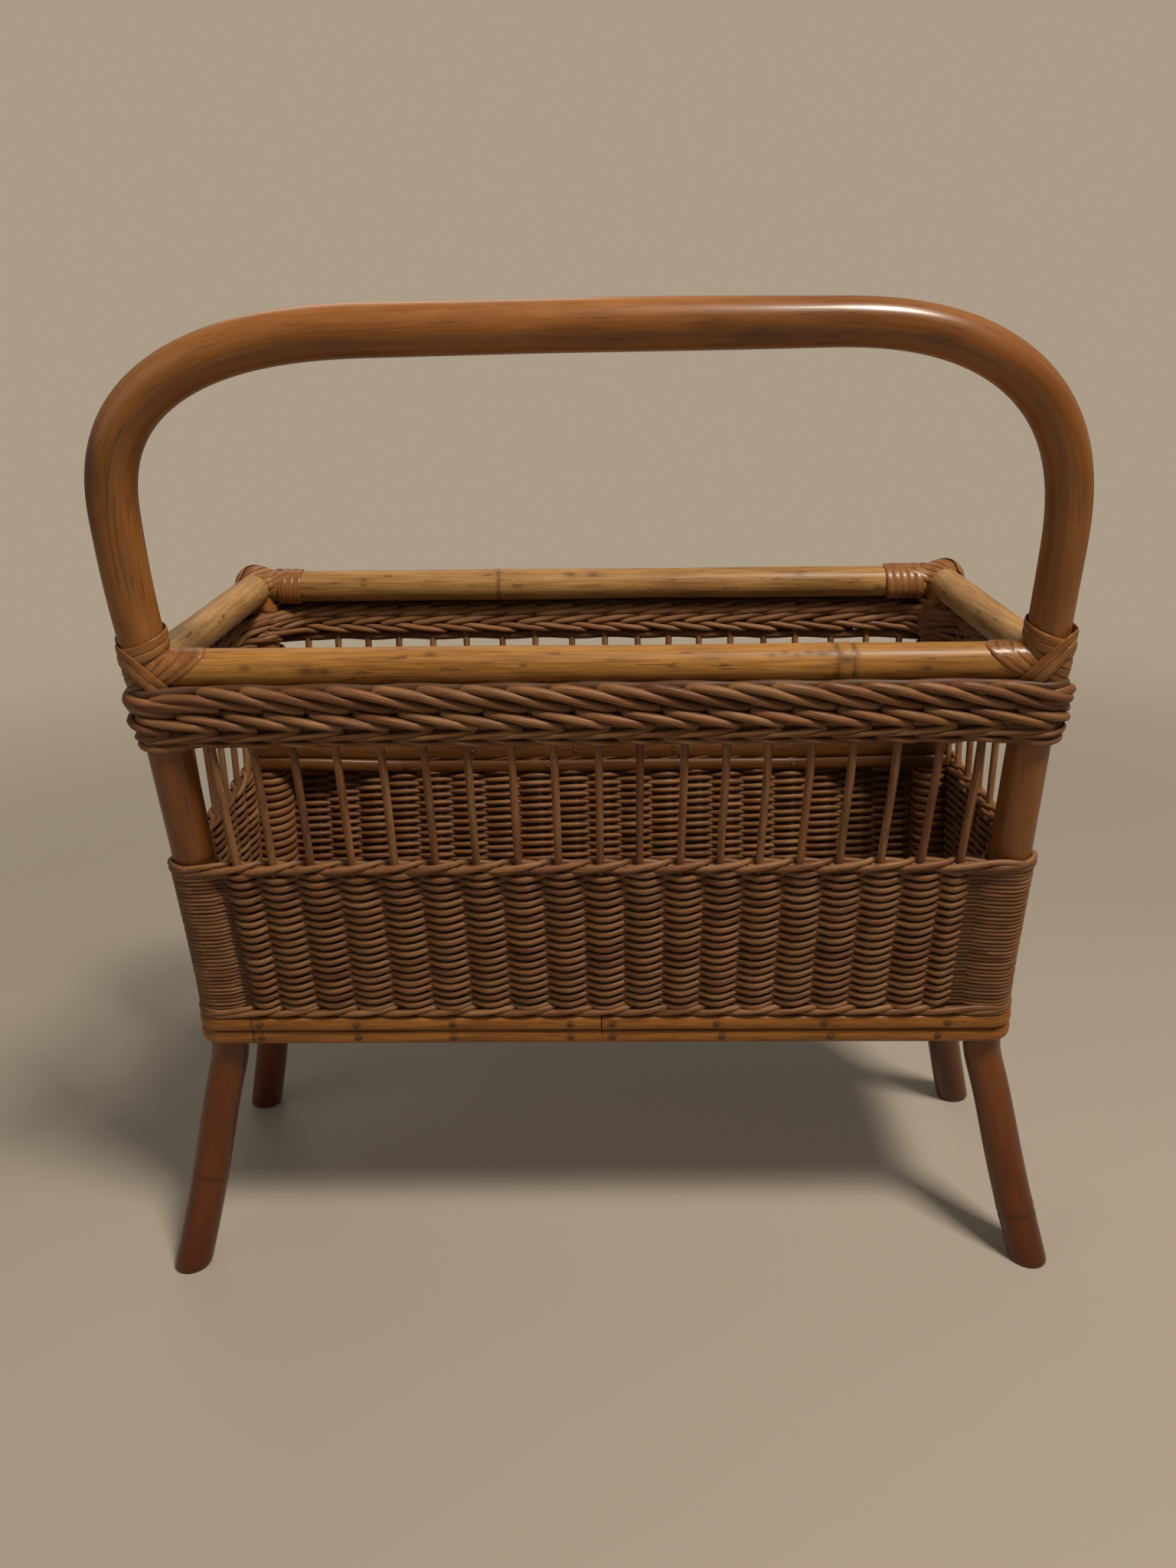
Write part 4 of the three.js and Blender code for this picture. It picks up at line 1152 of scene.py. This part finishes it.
def joint_of(side_x, side_y):
    """The centre of a rim joint, its own three directions (in along X, in along Y, up the post),
    the poles and rails that leave it, and the radius of its core."""
    in_x = np.array([-side_x, 0.0, 0.0])
    in_y = np.array([0.0, -side_y, 0.0])
    post_up = unit(np.array([0.0, side_y * LEAN, 1.0]))
    arms = [(in_x, RAIL_RADIUS), (in_y, RAIL_RADIUS), (-post_up, POLE_RADIUS)]
    core = POLE_RADIUS
    if side_y < 0:
        arms.append((post_up, POLE_RADIUS))
    else:
        core = np.hypot(POLE_RADIUS, BACK_POST_TOP - RIM_HEIGHT + POLE_RADIUS * LEAN)
    moved = LEFT_BINDING_OUT if (side_x, side_y) == (-1, -1) else 0.0
    centre = np.array([side_x * POST_HALF - moved, side_y * wall_half(RIM_HEIGHT) + MIDDLE_Y, RIM_HEIGHT])
    return centre, np.stack([in_x, in_y, post_up]), arms, core


def laid_on(joint, line, closed):
    """A flat strap along a line on the joint: its outward way is the slope of how far a point
    lies outside the joint's surface, found by small steps along the three axes."""
    centre, _, arms, core = joint

    def level(places):
        length = np.linalg.norm(places, axis=-1)
        return length / stand_off(places / length[:, None], arms, core, 0.0)

    out = unit(np.stack([level(line + step) - level(line - step) for step in np.eye(3) * SLOPE_STEP], 1))
    half = (STRAP_THICK / 2, STRAP_WIDTH / 2)
    return sweep((centre + line)[None], out[None], *half, STRAP_SIDES, closed, random.uniform(0, 1, 1))


def sleeve(joint, facing):
    """The under-layer of cane: the joint's surface as seen from its centre, lifted a little and
    held within a ball, so that it ends inside the poles. Over the long rail the ball is wide and
    a plane cuts the layer off instead. Its bands face the same way as the plane, with a narrow
    gap, a bell across, between each and the next."""
    centre, own_ways, arms, core = joint
    normal = unit(np.array(facing, float)) @ own_ways
    down = -own_ways[2]
    polar = np.linspace(SLEEVE_POLE, np.pi - SLEEVE_POLE, SLEEVE_RINGS)[:, None, None]
    around = (np.arange(SLEEVE_SIDES) / SLEEVE_SIDES * 2 * np.pi)[None, :, None]
    level = np.cos(around) * own_ways[0] + np.sin(around) * np.cross(down, own_ways[0])
    way = np.cos(polar) * down + np.sin(polar) * level
    reach = SLEEVE_REACH + (SLEEVE_LONG - SLEEVE_REACH) * smooth_step(way @ own_ways[0], *SLEEVE_OPENS)
    reach = np.minimum(reach, SLEEVE_EDGE / np.maximum(way @ normal, 0.05))
    size = held_in(reach, stand_off(way, arms, core, SLEEVE_LIFT))
    across = size * (way @ normal)
    band = across / SLEEVE_PITCH
    to_edge = (0.5 - np.abs(band - np.round(band))) * SLEEVE_PITCH
    gap = bell(to_edge, GAP_HALF)
    size = size - GAP_DEPTH * gap
    first = unit(np.cross(normal, down))
    angle = np.arctan2(way @ np.cross(normal, first), way @ first)
    own = np.stack([across, size, angle * POLE_RADIUS * 1.2], -1)
    tone = np.mod(np.round(band) * TONE_STEP, 1)
    return {"skin": (centre + way * size[..., None])[None], "own": own[None], "tone": tone[None],
            "joint": GAP_DARK * gap[None], "closed": False}


def strap(joint, facing, shift):
    """A closed strap round the joint in the plane that faces a direction, moved sideways by the
    shift. The line is evened out by a moving average, as a taut strap bridges a hollow."""
    _, own_ways, arms, core = joint
    normal = unit(np.array(facing, float)) @ own_ways
    first = unit(np.cross(normal, own_ways[2]))
    second = np.cross(normal, first)
    turn = np.arange(STRAP_POINTS) / STRAP_POINTS * 2 * np.pi
    way = np.cos(turn)[:, None] * first + np.sin(turn)[:, None] * second
    way = unit(way * stand_off(way, arms, core, 0)[:, None] + normal * shift)
    line = way * held_in(STRAP_REACH, stand_off(way, arms, core, STRAP_LIFT + STRAP_THICK / 2))[:, None]
    return laid_on(joint, evened(line, (1, 2, 4, 2, 1), 0), True)


def turns_round(joint, axis_number, across, beside, radius, start, count, tilt):
    """Turns of strap round one pole: a helix that starts where it is told along the pole, moves
    one pitch for each turn, and tilts as a ring slipped down on one side would."""
    _, _, arms, core = joint
    axis = arms[axis_number][0]
    turn = np.linspace(0, count, int(count * TURN_POINTS))
    angle = turn * 2 * np.pi
    climb = start + TURN_PITCH * turn + tilt * np.cos(angle)
    way = np.cos(angle)[:, None] * across + np.sin(angle)[:, None] * beside
    line = way * (radius + TURN_LIFT + STRAP_THICK / 2) + climb[:, None] * axis
    return laid_on(joint, line, False)


BANDS_FACE = (1.0, 0.4, -1.35)
STRAPS_FACE = (1.0, 0.8, 1)
STRAP_SHIFTS = {("front", "left"): (-6.9, -2.7), ("front", "right"): (-4.9, -0.6),
                ("back", "left"): (-2.2, 2.2), ("back", "right"): (-2.2, 2.2)}
FRONT_TURNS = (6.8, 2.4, 3.4)
BACK_TURNS = {"left": (13.4, 3, 0.0), "right": (11.5, 5, 0.0)}
for wall, side_y in (("front", -1), ("back", 1)):
    for side, side_x in (("left", -1), ("right", 1)):
        joint = joint_of(side_x, side_y)
        in_x, in_y, post_up = joint[1]
        cane = [sleeve(joint, BANDS_FACE)]
        if wall == "front":
            ways = (unit(in_x + in_y), unit(in_y - in_x))
            cane.append(turns_round(joint, 3, *ways, POLE_RADIUS, *FRONT_TURNS))
        else:
            cane.append(turns_round(joint, 0, post_up, -in_y, RAIL_RADIUS, *BACK_TURNS[side]))
        cane += [strap(joint, STRAPS_FACE, shift) for shift in STRAP_SHIFTS[wall, side]]
        name = f"{wall}_{side}_cane_binding"
        make_piece(name, cane, binding_material, "binding", f"{wall}_{side}_binding")


# The room.
# A plain pale floor and soft light, with the camera where the photograph was taken from. Further
# off, the camera sees the floor fade into the backdrop's tone.
FLOOR = 9.0
BACKDROP = "#ab9c87"
FADE_FROM = 0.45
FADE_TO = 1.7
floor_mesh = bpy.data.meshes.new("floor")
floor_corners = [(-FLOOR, -FLOOR, 0), (FLOOR, -FLOOR, 0), (FLOOR, FLOOR, 0), (-FLOOR, FLOOR, 0)]
floor_mesh.from_pydata(floor_corners, [], [(0, 1, 2, 3)])
floor = put_in_scene("floor", floor_mesh)
floor_material, floor_shader = new_material("pale_floor")
fill_node(floor_material, floor_shader, {
    "Base Color": linear("#a69d90"), "Roughness": 0.85, "Specular IOR Level": 0.2})
floor_place = add_node(floor_material, "TexCoord").outputs["Object"]
floor_away = add_node(floor_material, "VectorMath", {0: floor_place}, operation="LENGTH")
floor_fade = add_node(floor_material, "MapRange", {
    "Value": floor_away.outputs["Value"], "From Min": FADE_FROM, "From Max": FADE_TO},
    interpolation_type="SMOOTHSTEP")
floor_seen = add_node(floor_material, "LightPath").outputs["Is Camera Ray"]
floor_share = add_node(floor_material, "Math", {
    0: floor_fade.outputs[0], 1: floor_seen}, operation="MULTIPLY")
floor_glow = add_node(floor_material, "Emission", {"Color": linear(BACKDROP), "Strength": 1.0})
floor_mix = add_node(floor_material, "MixShader", {
    0: floor_share.outputs[0], 1: floor_shader.outputs[0], 2: floor_glow.outputs[0]})
floor_output = floor_material.node_tree.nodes["Material Output"]
fill_node(floor_material, floor_output, {"Surface": floor_mix.outputs[0]})
floor_mesh.materials.append(floor_material)

world = bpy.data.worlds.new("studio")
bpy.context.scene.world = world
world.use_nodes = True
sky = world.node_tree.nodes["Background"]
fill_node(world, sky, {"Color": linear("#e3dcd2"), "Strength": 0.24})
backdrop = add_node(world, "Background", {"Color": linear(BACKDROP)})
seen = add_node(world, "LightPath").outputs["Is Camera Ray"]
choice = add_node(world, "MixShader", {0: seen, 1: sky.outputs[0], 2: backdrop.outputs[0]})
fill_node(world, world.node_tree.nodes["World Output"], {"Surface": choice.outputs[0]})


def lamp(name, place, size, power, colour):
    """A square soft lamp that faces the basket."""
    light = bpy.data.lights.new(name, "AREA")
    light.size = size
    light.energy = power
    light.color = linear(colour)[:3]
    holder = put_in_scene(name, light)
    holder.location = place
    aim = np.array([0.0, 0.0, 0.25]) - np.array(place)
    side = unit(np.cross(aim, (0, 0, 1)))
    top = unit(np.cross(side, aim))
    turn = Matrix(np.stack([side, top, -unit(aim)], 1).tolist())
    holder.rotation_euler = turn.to_euler()


lamp("key_lamp", (0.6, -0.7, 1.85), 0.4, 37, "#fff3e4")
lamp("fill_lamp", (-1.6, -1.0, 1.1), 1.2, 3.5, "#fdf5ea")
lamp("back_lamp", (-0.4, 1.3, 1.6), 0.9, 4, "#fff4e6")

CAMERA_PLACE = (7.2, -620.8 + MIDDLE_Y, 491.3)
CAMERA_PITCH = 20.243
CAMERA_YAW = -1.281
CAMERA_ROLL = -1.3025
FOCAL_PIXELS = 1542.8
PHOTO_HEIGHT = 2048
pitch, yaw, roll = np.radians([CAMERA_PITCH, CAMERA_YAW, CAMERA_ROLL])
look = np.array([np.sin(yaw) * np.cos(pitch), np.cos(yaw) * np.cos(pitch), -np.sin(pitch)])
level_right = np.array([np.cos(yaw), -np.sin(yaw), 0.0])
level_up = np.cross(level_right, look)
camera_right = np.cos(roll) * level_right + np.sin(roll) * level_up
camera_up = -np.sin(roll) * level_right + np.cos(roll) * level_up
camera_data = bpy.data.cameras.new("camera")
camera_data.sensor_width = 36.0
camera_data.lens = FOCAL_PIXELS * camera_data.sensor_width / PHOTO_HEIGHT
camera_data.clip_start = 0.01
camera = put_in_scene("camera", camera_data)
turn = Matrix(np.stack([camera_right, camera_up, -look], 1).tolist())
camera.matrix_world = Matrix.Translation([value * MM for value in CAMERA_PLACE]) @ turn.to_4x4()
bpy.context.scene.camera = camera
bpy.context.scene.view_settings.view_transform = "Standard"
